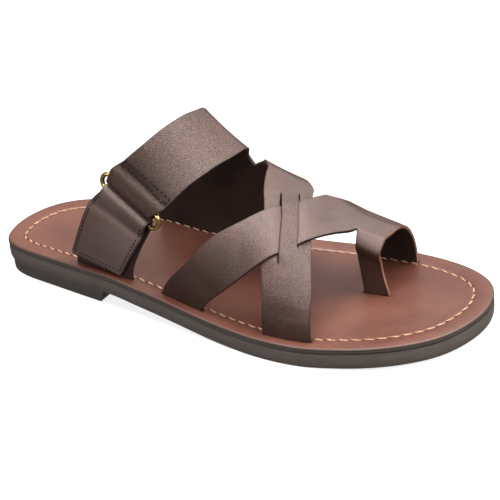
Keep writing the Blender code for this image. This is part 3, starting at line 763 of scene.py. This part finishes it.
def makeRearSheet():
    instepColumns, bandColumns = sheet["instepColumns"], sheet["bandColumns"]
    foldTurn, notchTurn = ring["foldTurn"], instepFront[-1][0]
    closeFrom, closeTurn = sheet["notchTurns"]
    turns = spread([0.0, foldTurn, slits[0][1], slits[1][1], slits[0][2], slits[1][2], closeFrom],
                   sheet["turnStep"])
    turns += spread([closeFrom + sheet["notchStep"], closeTurn, notchTurn], sheet["notchStep"])
    turns += spread([notchTurn + 0.005, 1.0], sheet["turnStep"])
    apexRear, apexFront = edgesAt(notchTurn, instepRear, frontFront)
    apexShare = (instepFront[-1][1] - apexRear) / (apexFront - apexRear)
    turns = withSeats(turns)
    bm = bmesh.new()
    instepPoints, bandPoints = [], [[], [], []]
    for turn in turns:
        a, b, c, d = edgesAt(turn, instepRear, instepFront, frontRear, frontFront)
        if turn >= notchTurn:
            b = c = a + (d - a) * apexShare
        places = np.linspace(a, b, instepColumns + 1)
        roll = ring["roll"] * math.exp(-((turn - foldTurn) / ring["rollRun"]) ** 2)
        instepPoints.append(onForm(places, turn, roll - crease(places, turn)))
        for band, (left, right) in enumerate(bandEdges(turn, c, d)):
            places = np.linspace(left, right, bandColumns + 1)
            bandPoints[band].append(onForm(
                places, turn, frontStrapLift(places, turn, band) - crease(places, turn)))
    instepPoints = np.array(instepPoints)
    bandPoints = [np.array(p) for p in bandPoints]
    fold = turns.index(foldTurn)
    notch = turns.index(notchTurn)
    # distance to the nearest cut edge, for the burnished border
    fromRear = runAlong(instepPoints)
    instepEdge = sideDistance(instepPoints)
    instepEdge[notch:] = fromRear[notch:]
    instepRows = vertexGrid(bm, instepPoints, instepEdge)
    bandRows = []
    for band in range(3):
        dist = sideDistance(bandPoints[band])
        for i, turn in enumerate(turns):
            openLeft = i < notch if band == 0 else slits[band - 1][1] < turn < slits[band - 1][2]
            openRight = band == 2 or slits[band][1] < turn < slits[band][2]
            run = runAlong(bandPoints[band][i])
            left = run if openLeft else sheet["farInside"]
            right = run[-1] - run if openRight else sheet["farInside"]
            dist[i] = np.minimum(left, right)
        bandRows.append(vertexGrid(bm, bandPoints[band], dist))
    # share the vertices wherever the notch or a slit is closed
    for i, turn in enumerate(turns):
        if i >= notch:
            bandRows[0][i][0] = instepRows[i][-1]
        for n, (_, begin, end) in enumerate(slits):
            if not begin < turn < end:
                bandRows[n + 1][i][0] = bandRows[n][i][-1]
    faceGrid(bm, instepRows[fold:])
    for rows in bandRows:
        faceGrid(bm, rows)
    # ends in their slots
    sinkRow(bm, instepRows[-1] + [v for rows in bandRows for v in rows[-1][1:]])
    sinkRow(bm, bandRows[0][0] + bandRows[1][0][1:] + bandRows[2][0][1:])
    # round the ring's upper bar and back up inside
    t = np.linspace(0, 1, instepColumns + 1)
    start = instepPoints[fold]
    rows = [start + (curl(1, t, 0) - start) * k for k in (0.33, 0.66)]
    rows += [curl(1, t, degrees) for degrees in range(0, 181, ring["sector"])]
    inset, closed = ring["flapInset"], shoe["leather"] + ring["flapGap"]
    for reach in np.linspace(0.12, 1.0, 9):
        turn = foldTurn + reach * ring["flap"] / shoe["instepHeight"] * ring["flapTurn"]
        a, b = edgesAt(turn, instepRear, instepFront)
        deep = closed + (1 - ease(reach * ring["flapClose"])) * (2 * foldRadius - closed)
        rows.append(onForm(a + (b - a) * (inset + (1 - 2 * inset) * t), turn, -float(deep)))
    rows = np.array(rows)
    faceGrid(bm, [instepRows[fold]] + vertexGrid(bm, rows, sideDistance(rows)))
    dropLoose(bm)
    return newObject("instep_and_front_strap", bm, [strapFace, strapBack, strapRim])


def orientFrom(face, outward):
    # make all faces of an open sheet agree with one face that is turned outward
    if face.normal.dot(outward) < 0:
        face.normal_flip()
    seen, queue = {face}, [face]
    while queue:
        f = queue.pop()
        for loop in f.loops:
            other = loop.link_loop_radial_next
            if other is loop or other.face in seen:
                continue
            if other.vert is loop.vert:
                other.face.normal_flip()
            seen.add(other.face)
            queue.append(other.face)


def wallFrom(obj, start, turn, rounding=0.00045):
    # turn the sheet outwards from the face nearest a point, then give it its wall
    bm = bmesh.new()
    bm.from_mesh(obj.data)
    bm.normal_update()
    nearest = min(bm.faces, key=lambda f: (f.calc_center_median() - Vector(start)).length)
    orientFrom(nearest, Vector(formNormal(start[0], turn)))
    bm.to_mesh(obj.data)
    bm.free()
    solid = obj.modifiers.new("wall", "SOLIDIFY")
    solid.thickness, solid.offset, solid.use_even_offset = shoe["leather"], 0.0, True
    solid.material_offset, solid.material_offset_rim = 1, 2
    bevel = obj.modifiers.new("cut edge", "BEVEL")
    bevel.width, bevel.segments = rounding, 3
    bevel.limit_method, bevel.angle_limit = "ANGLE", math.radians(50)
    return settle(obj)


rearSheet = makeRearSheet()
wallFrom(rearSheet, onForm(0.49, 0.45), 0.45)
print("rear sheet", len(rearSheet.data.polygons))


# cross sheet: cross strap, toe loop and toe strip
toe = dict(bend=0.0027, side=0.078, bendOver=0.45, turnOver=0.30, fall=1.25, rimFrom=0.786)


def makeCrossSheet():
    crossColumns, loopColumns, loopTurn = sheet["crossColumns"], sheet["loopColumns"], loopFront[0][0]
    turns = withSeats(spread([0.0, loopTurn, 1.0], sheet["turnStep"]))
    start = turns.index(loopTurn)
    bm = bmesh.new()
    crossPoints, loopPoints = [], []
    for turn in turns:
        a, b, c = edgesAt(turn, crossRear, crossFront, loopFront)
        places = np.linspace(a, b, crossColumns + 1)
        crossPoints.append(onForm(places, turn, crossStrapLift(places, turn) - crease(places, turn)))
        places = np.linspace(b, c, loopColumns + 1)
        loopPoints.append(onForm(places, turn, -crease(places, turn)))
    crossPoints, loopPoints = np.array(crossPoints), np.array(loopPoints)
    crossEdge = sideDistance(crossPoints)
    crossEdge[start:] = runAlong(crossPoints)[start:]
    crossRows = vertexGrid(bm, crossPoints, crossEdge)
    run = runAlong(loopPoints)
    loopRows = vertexGrid(bm, loopPoints, run[:, -1:] - run)
    for i in range(start, len(turns)):
        loopRows[i][0] = crossRows[i][-1]
    faceGrid(bm, crossRows)
    faceGrid(bm, loopRows[start:])
    sinkRow(bm, crossRows[-1] + loopRows[-1][1:])
    sinkRow(bm, crossRows[0])
    # the toe strip bends down between the first two toes
    tops = np.array([tuple(v.co) for v in loopRows[start]])
    t = np.linspace(0, 1, loopColumns + 1)
    rows = []
    for drop in (*np.linspace(0.015, 0.30, 15), *np.linspace(0.34, 1.0, 16)):
        rear, front = float(through(toeStripRows, drop, 1)), float(through(toeStripRows, drop, 2))
        x = placeX(rear + (front - rear) * t)
        floor = footbedRim(x) - shoe["dish"]
        side = toe["side"] * width
        y = tops[:, 1] - (tops[:, 1] - side) * ease(drop / toe["turnOver"])
        y = y - toe["bend"] * math.sin(math.pi * min(drop / toe["bendOver"], 1.0))
        rows.append(np.stack([x, y, tops[:, 2] - (tops[:, 2] - floor) * drop ** toe["fall"]], 1))
    rows = np.array(rows)
    strip = vertexGrid(bm, rows, sideDistance(rows))
    faceGrid(bm, [loopRows[start]] + strip)
    sinkRow(bm, strip[-1])
    dropLoose(bm)
    return newObject("cross_strap_and_toe_loop", bm, [crossFace, strapBack, strapRim]), rows[-1]


crossSheet, toeSeat = makeCrossSheet()
wallFrom(crossSheet, onForm(0.60, 0.25), 0.25)
crossSheet.data.materials.append(toeRim)
for face in crossSheet.data.polygons:
    if face.material_index == 2 and share(face.center.x) > toe["rimFrom"]:
        face.material_index = 3
print("cross sheet", len(crossSheet.data.polygons))


# anchor strap: slot, inside of the ring, lower bar, tab
tab = dict(standoff=0.0026, start=(0.111, 0.0985), end=(0.0095, 0.0022), corner=0.0018, dip=0.0009,
           hem=0.00025, length=0.030, width=0.034, columns=26, bendFrom=0.02, bendRun=0.085,
           dipAt=0.22, dipRun=0.075, hemSide=0.455, hemEnd=0.94, hemRun=0.03, hemFrom=0.2,
           leaveRun=0.3, liftRate=1.25,
           innerTurns=(0.0, 0.0015, 0.004, 0.008, 0.014, 0.022, 0.032, 0.043, 0.055, 0.067,
                       0.078, 0.088, 0.095),
           endShares=(0.945, 0.958, 0.970, 0.980, 0.989, 0.996, 1.0))


def ribbon(table, t, turn, lift):
    a, b = through(table, turn, 1), through(table, turn, 2)
    return onForm(a + (b - a) * t, turn, lift)


def tabPoint(t, k):
    # on the tab: t across from rear to front, k from the fold to its lower edge
    t, k = np.broadcast_arrays(np.asarray(t, float), np.asarray(k, float))
    start, end = (a + (b - a) * t for a, b in (tab["start"], tab["end"]))
    dip = tab["dip"] * np.exp(-((k - tab["dipAt"]) / tab["dipRun"]) ** 2)
    sides = ease((np.abs(t - 0.5) - tab["hemSide"]) / tab["hemRun"]) * ease((k - tab["hemFrom"]) / 0.2)
    hem = tab["hem"] * np.maximum(sides, ease((k - tab["hemEnd"]) / tab["hemRun"]))
    lift = tab["standoff"] * ease(k * tab["liftRate"]) - dip + hem
    point = ribbon(tabRows, t, start + (end - start) * k, lift)
    # the first part leaves the roll on the lower bar without a step
    leave = curl(-1, t, 0) - ribbon(tabRows, t, start, 0.0)
    return point + leave * (1 - ease(k / tab["leaveRun"]))[..., None]


def makeAnchor():
    t = np.linspace(0, 1, tab["columns"] + 1)
    rows = []
    for turn in tab["innerTurns"]:
        inside = float(ease((turn - tab["bendFrom"]) / tab["bendRun"]))
        rows.append(ribbon(anchorRows, t, turn, -2 * foldRadius * inside))
    rows += [curl(-1, t, degrees) for degrees in range(180, -1, -ring["sector"])]
    ks = [*np.linspace(0.05, 0.93, 30), *tab["endShares"]]
    for k in ks:
        # round off the two lower corners
        down = (1 - k) * tab["length"]
        corner = tab["corner"]
        pull = (corner - math.sqrt(corner ** 2 - max(corner - down, 0) ** 2)) / tab["width"]
        rows.append(tabPoint(pull + (1 - 2 * pull) * t, k))
    rows = np.array(rows)
    edge = sideDistance(rows)
    endRun = np.linalg.norm(rows[-len(ks):] - rows[-1:], axis=2)
    edge[-len(ks):] = np.minimum(edge[-len(ks):], endRun)
    bm = bmesh.new()
    grid = vertexGrid(bm, rows, edge)
    faceGrid(bm, grid)
    sinkRow(bm, grid[0])
    return newObject("anchor_strap_tab", bm, [tabFaceWithPaintedReflection, strapBack, strapRim])


anchorPiece = makeAnchor()
wallFrom(anchorPiece, tabPoint(0.5, 0.5), 0.05, rounding=0.0005)
print("anchor strap", len(anchorPiece.data.polygons))


# slots in the footbed
def cutSlots():
    bm = bmesh.new()
    lines = [slotLine(instepRear, frontFront, 1.0), slotLine(frontRear, frontFront, 0.0),
             slotLine(crossRear, crossFront, 0.0), slotLine(crossRear, loopFront, 1.0),
             ribbon(anchorRows, np.linspace(0, 1, 13), 0.0, 0.0), toeSeat]
    for line in lines:
        ends = unit(line[-1] - line[0]) * shoe["gap"]
        line = np.vstack([line[:1] - ends, line[1:-1], line[-1:] + ends])
        low, high = line.copy(), line.copy()
        reach = 1.5 * shoe["insole"]     # past both faces of the footbed
        low[:, 2], high[:, 2] = footbedRim(line[:, 0]) - reach, footbedRim(line[:, 0]) + reach
        faceGrid(bm, vertexGrid(bm, np.array([low, high])))
    bmesh.ops.recalc_face_normals(bm, faces=bm.faces)
    cutter = newObject("slot_cutter", bm, [])
    solid = cutter.modifiers.new("slot", "SOLIDIFY")
    solid.thickness, solid.offset = shoe["leather"] + 2 * shoe["gap"], 0.0
    settle(cutter)
    cut = footbedPiece.modifiers.new("slots", "BOOLEAN")
    cut.operation, cut.object, cut.solver = "DIFFERENCE", cutter, "EXACT"
    settle(footbedPiece)
    bpy.data.objects.remove(cutter, do_unlink=True)


cutSlots()
print("footbed", len(footbedPiece.data.polygons))


# outsole: a plain border all round, and cross ribs in the recess inside it
tread = dict(depth=0.0007, border=0.0035, pitch=0.0042, ribWidth=0.0026, chamfer=0.00025, root=0.0003)
band = ((-0.00026, 0.0), (0.0010, -0.00005), (0.0025, -0.00022), (0.0045, -0.00025),
        (0.0066, -0.00015), (0.0076, 0.0001), (0.0079, 0.0003), (0.0081, 0.0007))     # down, inward


def makeOutsole():
    bm = bmesh.new()

    def flatRing(line, lift):
        return [bm.verts.new((x, y, float(underside(x)) + lift)) for x, y in line]

    cover = plateRings((0.0004, 0.02), plateCore)
    top = [flatRing(line, shoe["outsole"]) for line, _ in cover]
    side = [flatRing(inward(soleEdge, by), shoe["outsole"] - down) for down, by in band]
    border = flatRing(inward(soleEdge, tread["border"]), 0.0)
    inside = plateRings((tread["border"] + 0.0002, 0.012), (0.7, 0.4, 0.12))
    recess = [flatRing(line, tread["depth"]) for line, _ in inside]
    loopFaces(bm, top[::-1] + side + [border] + recess, 0)
    closeMiddle(bm, top[-1], 0)
    closeMiddle(bm, recess[-1], 0)
    bmesh.ops.recalc_face_normals(bm, faces=bm.faces)
    return newObject("outsole_band", bm, [soleSide])


class PointTree:
    # a node group that sets points along a mesh line, one pitch apart, and copies a shape to them
    def __init__(self, name, sizes):
        self.tree = bpy.data.node_groups.new(name, "GeometryNodeTree")
        sockets = [("Geometry", "Geometry"), *((size, "Float") for size in sizes), ("Finish", "Material")]
        for label, kind in sockets:
            self.tree.interface.new_socket(label, in_out="INPUT", socket_type="NodeSocket" + kind)
        self.tree.interface.new_socket("Geometry", in_out="OUTPUT", socket_type="NodeSocketGeometry")
        self.given = self.tree.nodes.new("NodeGroupInput").outputs
        curve = self.geo("MeshToCurve", {"Mesh": self.given["Geometry"]})
        self.marks = self.geo("ResampleCurve", {"Curve": curve, "Length": self.given["Pitch"]},
                              mode="LENGTH")

    def put(self, kind, values, settings):
        # settings are the node's own, values are numbers or links for its sockets
        node = self.tree.nodes.new(kind)
        for key, value in settings.items():
            setattr(node, key, value)
        for key, value in values.items():
            feed(self.tree, node.inputs[key], value)
        return node.outputs

    def geo(self, kind, values, **settings):
        return self.put("GeometryNode" + kind, values, settings)[0]

    def vector(self, **parts):
        return self.put("ShaderNodeCombineXYZ", parts, {})[0]

    def read(self, name):
        return self.geo("InputNamedAttribute", {"Name": name}, data_type="FLOAT_VECTOR")

    def align(self, values, **settings):
        return self.put("FunctionNodeAlignRotationToVector", values, settings)[0]

    def finish(self, copies):
        # turn the copies into faces and give them their finish
        real = self.geo("RealizeInstances", {0: copies})
        paint = self.geo("SetMaterial", {"Geometry": real, "Material": self.given["Finish"]})
        self.tree.links.new(paint, self.tree.nodes.new("NodeGroupOutput").inputs["Geometry"])
        return self.tree


def runTree(obj, tree, values):
    mod = obj.modifiers.new(tree.name, "NODES")
    mod.node_group = tree
    for item in tree.interface.items_tree:
        if item.item_type == "SOCKET" and item.in_out == "INPUT" and item.name in values:
            mod[item.identifier] = values[item.name]


def alongLine(name, points, attributes):
    # a mesh line whose points carry the attributes that a tree reads
    bm = bmesh.new()
    layers = {key: bm.verts.layers.float_vector.new(key) for key in attributes}
    verts = []
    for i, p in enumerate(points):
        v = bm.verts.new(p)
        for key, layer in layers.items():
            v[layer] = Vector(attributes[key][i])
        verts.append(v)
    for pair in zip(verts, verts[1:]):
        bm.edges.new(pair)
    return newObject(name, bm, [])


def ribTree():
    g = PointTree("tread_rib_run", ("Pitch", "Rib Width", "Height"))
    cube = g.geo("MeshCube", {})
    raised = g.geo("Transform", {"Geometry": cube, "Translation": (0.0, 0.0, 0.5)})
    parts = g.put("ShaderNodeSeparateXYZ", {0: g.read("reach")}, {})
    size = g.vector(X=g.given["Rib Width"], Y=parts["Y"], Z=g.given["Height"])
    turn = g.align({"Vector": g.geo("InputTangent", {})}, axis="X", pivot_axis="Y")
    ribs = g.geo("InstanceOnPoints", {"Points": g.marks, "Instance": raised, "Rotation": turn,
                                      "Scale": size})
    return g.finish(g.geo("TranslateInstances", {"Instances": ribs, "Local Space": False,
                                                 "Translation": g.vector(Y=parts["X"])}))


def makeTread():
    # each rib reaches from border to border, across the line under the middle of the sole
    first = shoe["heelLength"] - halfLength + 2 * tread["ribWidth"]
    x = np.linspace(first, halfLength - 2.2 * tread["border"], 300)
    half = tread["ribWidth"] / 2
    low = np.maximum(lateralY(x - half), lateralY(x + half)) + tread["border"]
    high = np.minimum(medialY(x - half), medialY(x + half)) - tread["border"]
    path = np.stack([x, 0 * x, underside(x)], 1)
    reach = np.stack([(low + high) / 2, high - low, 0 * x], 1)
    obj = alongLine("tread_ribs", path, {"reach": reach})
    runTree(obj, ribTree(), {"Pitch": tread["pitch"], "Rib Width": tread["ribWidth"],
                             "Height": tread["depth"] + tread["root"], "Finish": heelSide})
    chamfer = obj.modifiers.new("chamfer", "BEVEL")
    chamfer.width, chamfer.segments = tread["chamfer"], 1
    return settle(obj)


heelRows = ((0.0, 0.0006), (0.0002, 0.0002), (0.0006, 0.0), (0.0030, -0.0001),
            (shoe["heelSeat"] - 0.0012, 0.0), (shoe["heelSeat"] - 0.0007, 0.0001),
            (shoe["heelSeat"] - shoe["gap"], 0.0004))     # height, inward
breast = dict(margin=0.0004, shares=[k / 12 for k in range(1, 12)])


def makeHeel():
    edge = inward(soleEdge, shoe["heelInset"])
    half = len(edge) // 2
    layers = []
    for z, pull in heelRows:
        # the outline as far as the breast, which leans back a little
        last = shoe["heelLength"] - halfLength - shoe["breastRake"] * (1 - z / shoe["heelSeat"]) - pull
        line = inward(edge, pull)
        lateral, medial = line[:half], line[half:]
        endA = (last, np.interp(last, lateral[:, 0], lateral[:, 1]))
        endB = (last, np.interp(last, medial[::-1, 0], medial[::-1, 1]))
        lateral, medial = (side[side[:, 0] < last - breast["margin"]] for side in (lateral, medial))
        layers.append((z, lateral, endA, endB, medial))
    counts = min(len(row[1]) for row in layers), min(len(row[4]) for row in layers)
    bm = bmesh.new()
    rings = []
    for z, lateral, endA, endB, medial in layers:
        front = [(endA[0], endA[1] + (endB[1] - endA[1]) * k) for k in breast["shares"]]
        points = [*evenly(np.vstack([lateral, [endA]]), counts[0]), *front,
                  *evenly(np.vstack([[endB], medial, lateral[:1]]), counts[1])[:-1]]
        rings.append([bm.verts.new((x, y, z)) for x, y in points])
    loopFaces(bm, rings, 0)
    for flat in (rings[0], rings[-1]):
        bm.faces.new(flat)
    bmesh.ops.recalc_face_normals(bm, faces=bm.faces)
    return newObject("heel_block", bm, [heelSide])


outsolePiece, treadPiece, heelPiece = makeOutsole(), makeTread(), makeHeel()
outsolePiece.data.set_sharp_from_angle(angle=math.radians(50))
heelPiece.data.set_sharp_from_angle(angle=math.radians(40))
print("sole ready")


# brass ring
def makeRing():
    centre = (barPoint(1, 0.5) + barPoint(-1, 0.5)) / 2
    halfBar = np.linalg.norm(lineB - lineA) / 2 + ring["room"] - barSpread * ring["barTrim"]
    points = []
    for side in (1, -1):
        for a in np.radians(np.linspace(-90, 90, 15)):
            reach = ringAlong * (halfBar + barSpread * math.cos(a))
            points.append(centre + side * (reach + ringUp * barSpread * math.sin(a)))
    n, sides, radius = len(points), 20, ring["wire"] / 2
    bm = bmesh.new()
    loops = []
    for i, p in enumerate(points):
        flat = unit(np.cross(points[(i + 1) % n] - points[i - 1], ringOut))
        loops.append([bm.verts.new(p + radius * (math.cos(b) * flat + math.sin(b) * ringOut))
                      for b in (2 * math.pi * j / sides for j in range(sides))])
    loopFaces(bm, loops + [loops[0]], 0)
    bmesh.ops.recalc_face_normals(bm, faces=bm.faces)
    return newObject("brass_ring", bm, [brassFinish])


ringPiece = makeRing()


# stitches, laid along a line by Geometry Nodes
def stitchTree():
    g = PointTree("stitch_run", ("Pitch", "Length", "Width", "Height", "Slant"))
    ball = g.geo("MeshUVSphere", {"Segments": 10, "Rings": 6, "Radius": 0.5})
    size = g.vector(X=g.given["Length"], Y=g.given["Width"], Z=g.given["Height"])
    shape = g.geo("Transform", {"Geometry": ball, "Scale": size,
                                "Rotation": g.vector(Z=g.given["Slant"])})
    onward = g.align({"Vector": g.geo("InputTangent", {})}, axis="X")
    upright = g.align({"Rotation": onward, "Vector": g.read("outward")}, axis="Z", pivot_axis="X")
    return g.finish(g.geo("InstanceOnPoints", {"Points": g.marks, "Rotation": upright,
                                               "Instance": g.geo("SetShadeSmooth", {0: shape})}))


stitchGroup = stitchTree()


def stitchRun(name, points, outward, finish, size):
    # points and outward are arrays; the stitches sit on the line
    obj = alongLine(name, points, {"outward": outward})
    runTree(obj, stitchGroup, {"Finish": finish, **{key.title(): value for key, value in size.items()}})
    return settle(obj)


def resample(points, spacing, offset):
    # round a closed line, from an offset along it
    closed = np.vstack([points, points[:1]])
    return pointsAt(closed, np.arange(offset, runAlong(closed)[-1], spacing))


footbedStitch = dict(pitch=0.0062, length=0.0054, width=0.0011, height=0.0009, slant=-0.15)
# painted shade of the needle holes: sizes of the dark blobs laid between the stitches
needleHoleShade = dict(footbedStitch, length=0.0017, width=0.0014, height=0.0006, slant=0.0)
instepStitch = dict(pitch=0.0027, length=0.0021, width=0.0010, height=0.0007, slant=0.10)
tabStitch = dict(pitch=0.0024, length=0.0019, width=0.0008, height=0.0006, slant=0.08)
seams = dict(threadRise=0.00018, holeRise=0.00010, strapRise=0.00005, tabRise=0.00002, tabMargin=0.060,
             tabFrom=0.10, tabHem=0.048,
             instepCorners=((0.3745, 0.199), (0.4625, 0.2085), (0.4535, 0.1860), (0.3630, 0.184)))


def footbedRow(name, rise, offset, finish, size):
    line = inward(soleEdge, shoe["rim"])
    height = footbedTop(line[:, 0], np.full(len(line), shoe["rim"]))
    path = np.stack([line[:, 0], line[:, 1], height + rise], 1)
    fine = resample(path, size["pitch"] / 8, offset)
    return stitchRun(name, fine, np.tile((0.0, 0.0, 1.0), (len(fine), 1)), finish, size)


def makeInstepStitches():
    # two dark rows across the instep strap, joined at their ends
    corners = np.array(seams["instepCorners"] + seams["instepCorners"][:1])
    steps = np.linspace(0, 1, 40)[:-1, None]
    path = np.vstack([p + (q - p) * steps for p, q in zip(corners, corners[1:])] + [corners[-1:]])
    points = onForm(path[:, 0], path[:, 1], shoe["leather"] / 2 + seams["strapRise"])
    outward = formNormal(placeX(path[:, 0]), path[:, 1])
    return stitchRun("instep_strap_stitches", points, outward, darkThreadAndHoleShade, instepStitch)


def makeTabStitches():
    # one dark row round the tab, just inside its border
    margin, last = seams["tabMargin"], 1 - seams["tabHem"]
    ks = np.linspace(seams["tabFrom"], last, 60)
    path = [(margin, k) for k in ks]
    path += [(t, last) for t in np.linspace(margin, 1 - margin, 50)]
    path += [(1 - margin, k) for k in ks[::-1]]
    t, k = np.array(path).T
    points = tabPoint(t, k)
    outward = formNormal(points[:, 0], np.full(len(points), 0.05))
    points = points + outward * (shoe["leather"] / 2 + seams["tabRise"])
    return stitchRun("tab_stitches", points, outward, darkThreadAndHoleShade, tabStitch)


stitchPieces = [
    footbedRow("footbed_stitches", seams["threadRise"], 0.0, creamThread, footbedStitch),
    footbedRow("footbed_needle_hole_painted_shade", seams["holeRise"], needleHoleShade["pitch"] / 2, holeShadeFinish,
               needleHoleShade),
    makeInstepStitches(), makeTabStitches()]
print("stitches ready", [len(p.data.polygons) for p in stitchPieces])


# what each piece stands for
for piece, nodes, slot in (
        (footbedPiece, ("insole",), "insole_leather"), (outsolePiece, ("outsole",), "outsole_brown"),
        (treadPiece, (), "outsole_brown"), (heelPiece, ("heel_lift",), "heel_brown"),
        (rearSheet, ("upper",), "strap_leather"), (crossSheet, ("upper",), "strap_leather"),
        (anchorPiece, ("anchor_strap",), "strap_leather"), (ringPiece, ("ring",), "ring_brass")):
    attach(piece, "root")
    if nodes:
        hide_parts(*nodes)
for piece in stitchPieces:
    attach(piece, "root")

# floor, light and camera
studio = dict(floor=(0.22, 0.22, 0.22), glow=0.76, world=0.20, backdrop=0.88, aim=(0.0, 0.0, 0.03))
softboxes = dict(     # place, size, power
    top=((-0.05, 0.05, 0.95), (0.75, 0.70), 23.0), right=((0.78, 0.12, 0.80), (0.8, 0.8), 24.0),
    front=((0.15, -0.86, 0.60), (0.5, 0.25), 6.0), back=((0.20, 0.75, 0.78), (0.6, 0.5), 6.5),
    rear=((-0.55, 0.80, 0.55), (0.8, 0.5), 1.0), left=((-0.62, -0.80, 0.42), (0.35, 0.35), 2.0))
bm = bmesh.new()
bmesh.ops.create_grid(bm, x_segments=1, y_segments=1, size=3.0)
floorFinish = Finish("studio_floor")
floorFinish.set(Base_Color=studio["floor"], Roughness=0.9, Emission_Color=(1.0, 1.0, 1.0),
                Emission_Strength=studio["glow"])
floorPiece = newObject("studio_floor", bm, [floorFinish.material])
floorPiece.visible_diffuse = floorPiece.visible_glossy = False

world = bpy.data.worlds.new("studio")
world.use_nodes = True
sky = world.node_tree
seen = sky.nodes.new("ShaderNodeBackground")
for node, strength in ((sky.nodes["Background"], studio["world"]), (seen, studio["backdrop"])):
    node.inputs["Color"].default_value = (1.0, 1.0, 1.0, 1.0)
    node.inputs["Strength"].default_value = strength
rays, either = sky.nodes.new("ShaderNodeLightPath"), sky.nodes.new("ShaderNodeMixShader")
sky.links.new(rays.outputs["Is Camera Ray"], either.inputs[0])
sky.links.new(sky.nodes["Background"].outputs[0], either.inputs[1])
sky.links.new(seen.outputs[0], either.inputs[2])
sky.links.new(either.outputs[0], sky.nodes["World Output"].inputs["Surface"])
bpy.context.scene.world = world

for name, (at, size, power) in softboxes.items():
    data = bpy.data.lights.new(name + "_softbox", "AREA")
    data.shape, data.size, data.size_y, data.energy = "RECTANGLE", size[0], size[1], power
    lamp = bpy.data.objects.new(name + "_softbox", data)
    lamp.location = at
    lamp.rotation_euler = (Vector(studio["aim"]) - Vector(at)).to_track_quat("-Z", "Y").to_euler()
    bpy.context.scene.collection.objects.link(lamp)
bpy.context.scene.view_settings.view_transform = "Standard"

camera = dict(azimuth=33.64, elevation=28.95, roll=-6.634, distance=0.62548, focal=1149.8,
              target=(-0.0005, 0.0011, 0.020), shift=(-22.99, 6.27))
az, el, roll = (math.radians(camera[k]) for k in ("azimuth", "elevation", "roll"))
back = Vector((math.sin(az) * math.cos(el), -math.cos(az) * math.cos(el), math.sin(el)))
right = Vector((math.cos(az), math.sin(az), 0.0))
up = back.cross(right)
right, up = math.cos(roll) * right + math.sin(roll) * up, -math.sin(roll) * right + math.cos(roll) * up
lens = bpy.data.cameras.new("photo_view")
lens.sensor_width = 36.0
lens.lens = camera["focal"] / 500 * 36.0
lens.shift_x, lens.shift_y = -camera["shift"][0] / 500, camera["shift"][1] / 500
lens.clip_start = 0.01
eye = bpy.data.objects.new("photo_view", lens)
eye.matrix_world = Matrix.Translation(Vector(camera["target"]) + back * camera["distance"]) @ \
    Matrix((right, up, back)).transposed().to_4x4()
bpy.context.scene.collection.objects.link(eye)
bpy.context.scene.camera = eye
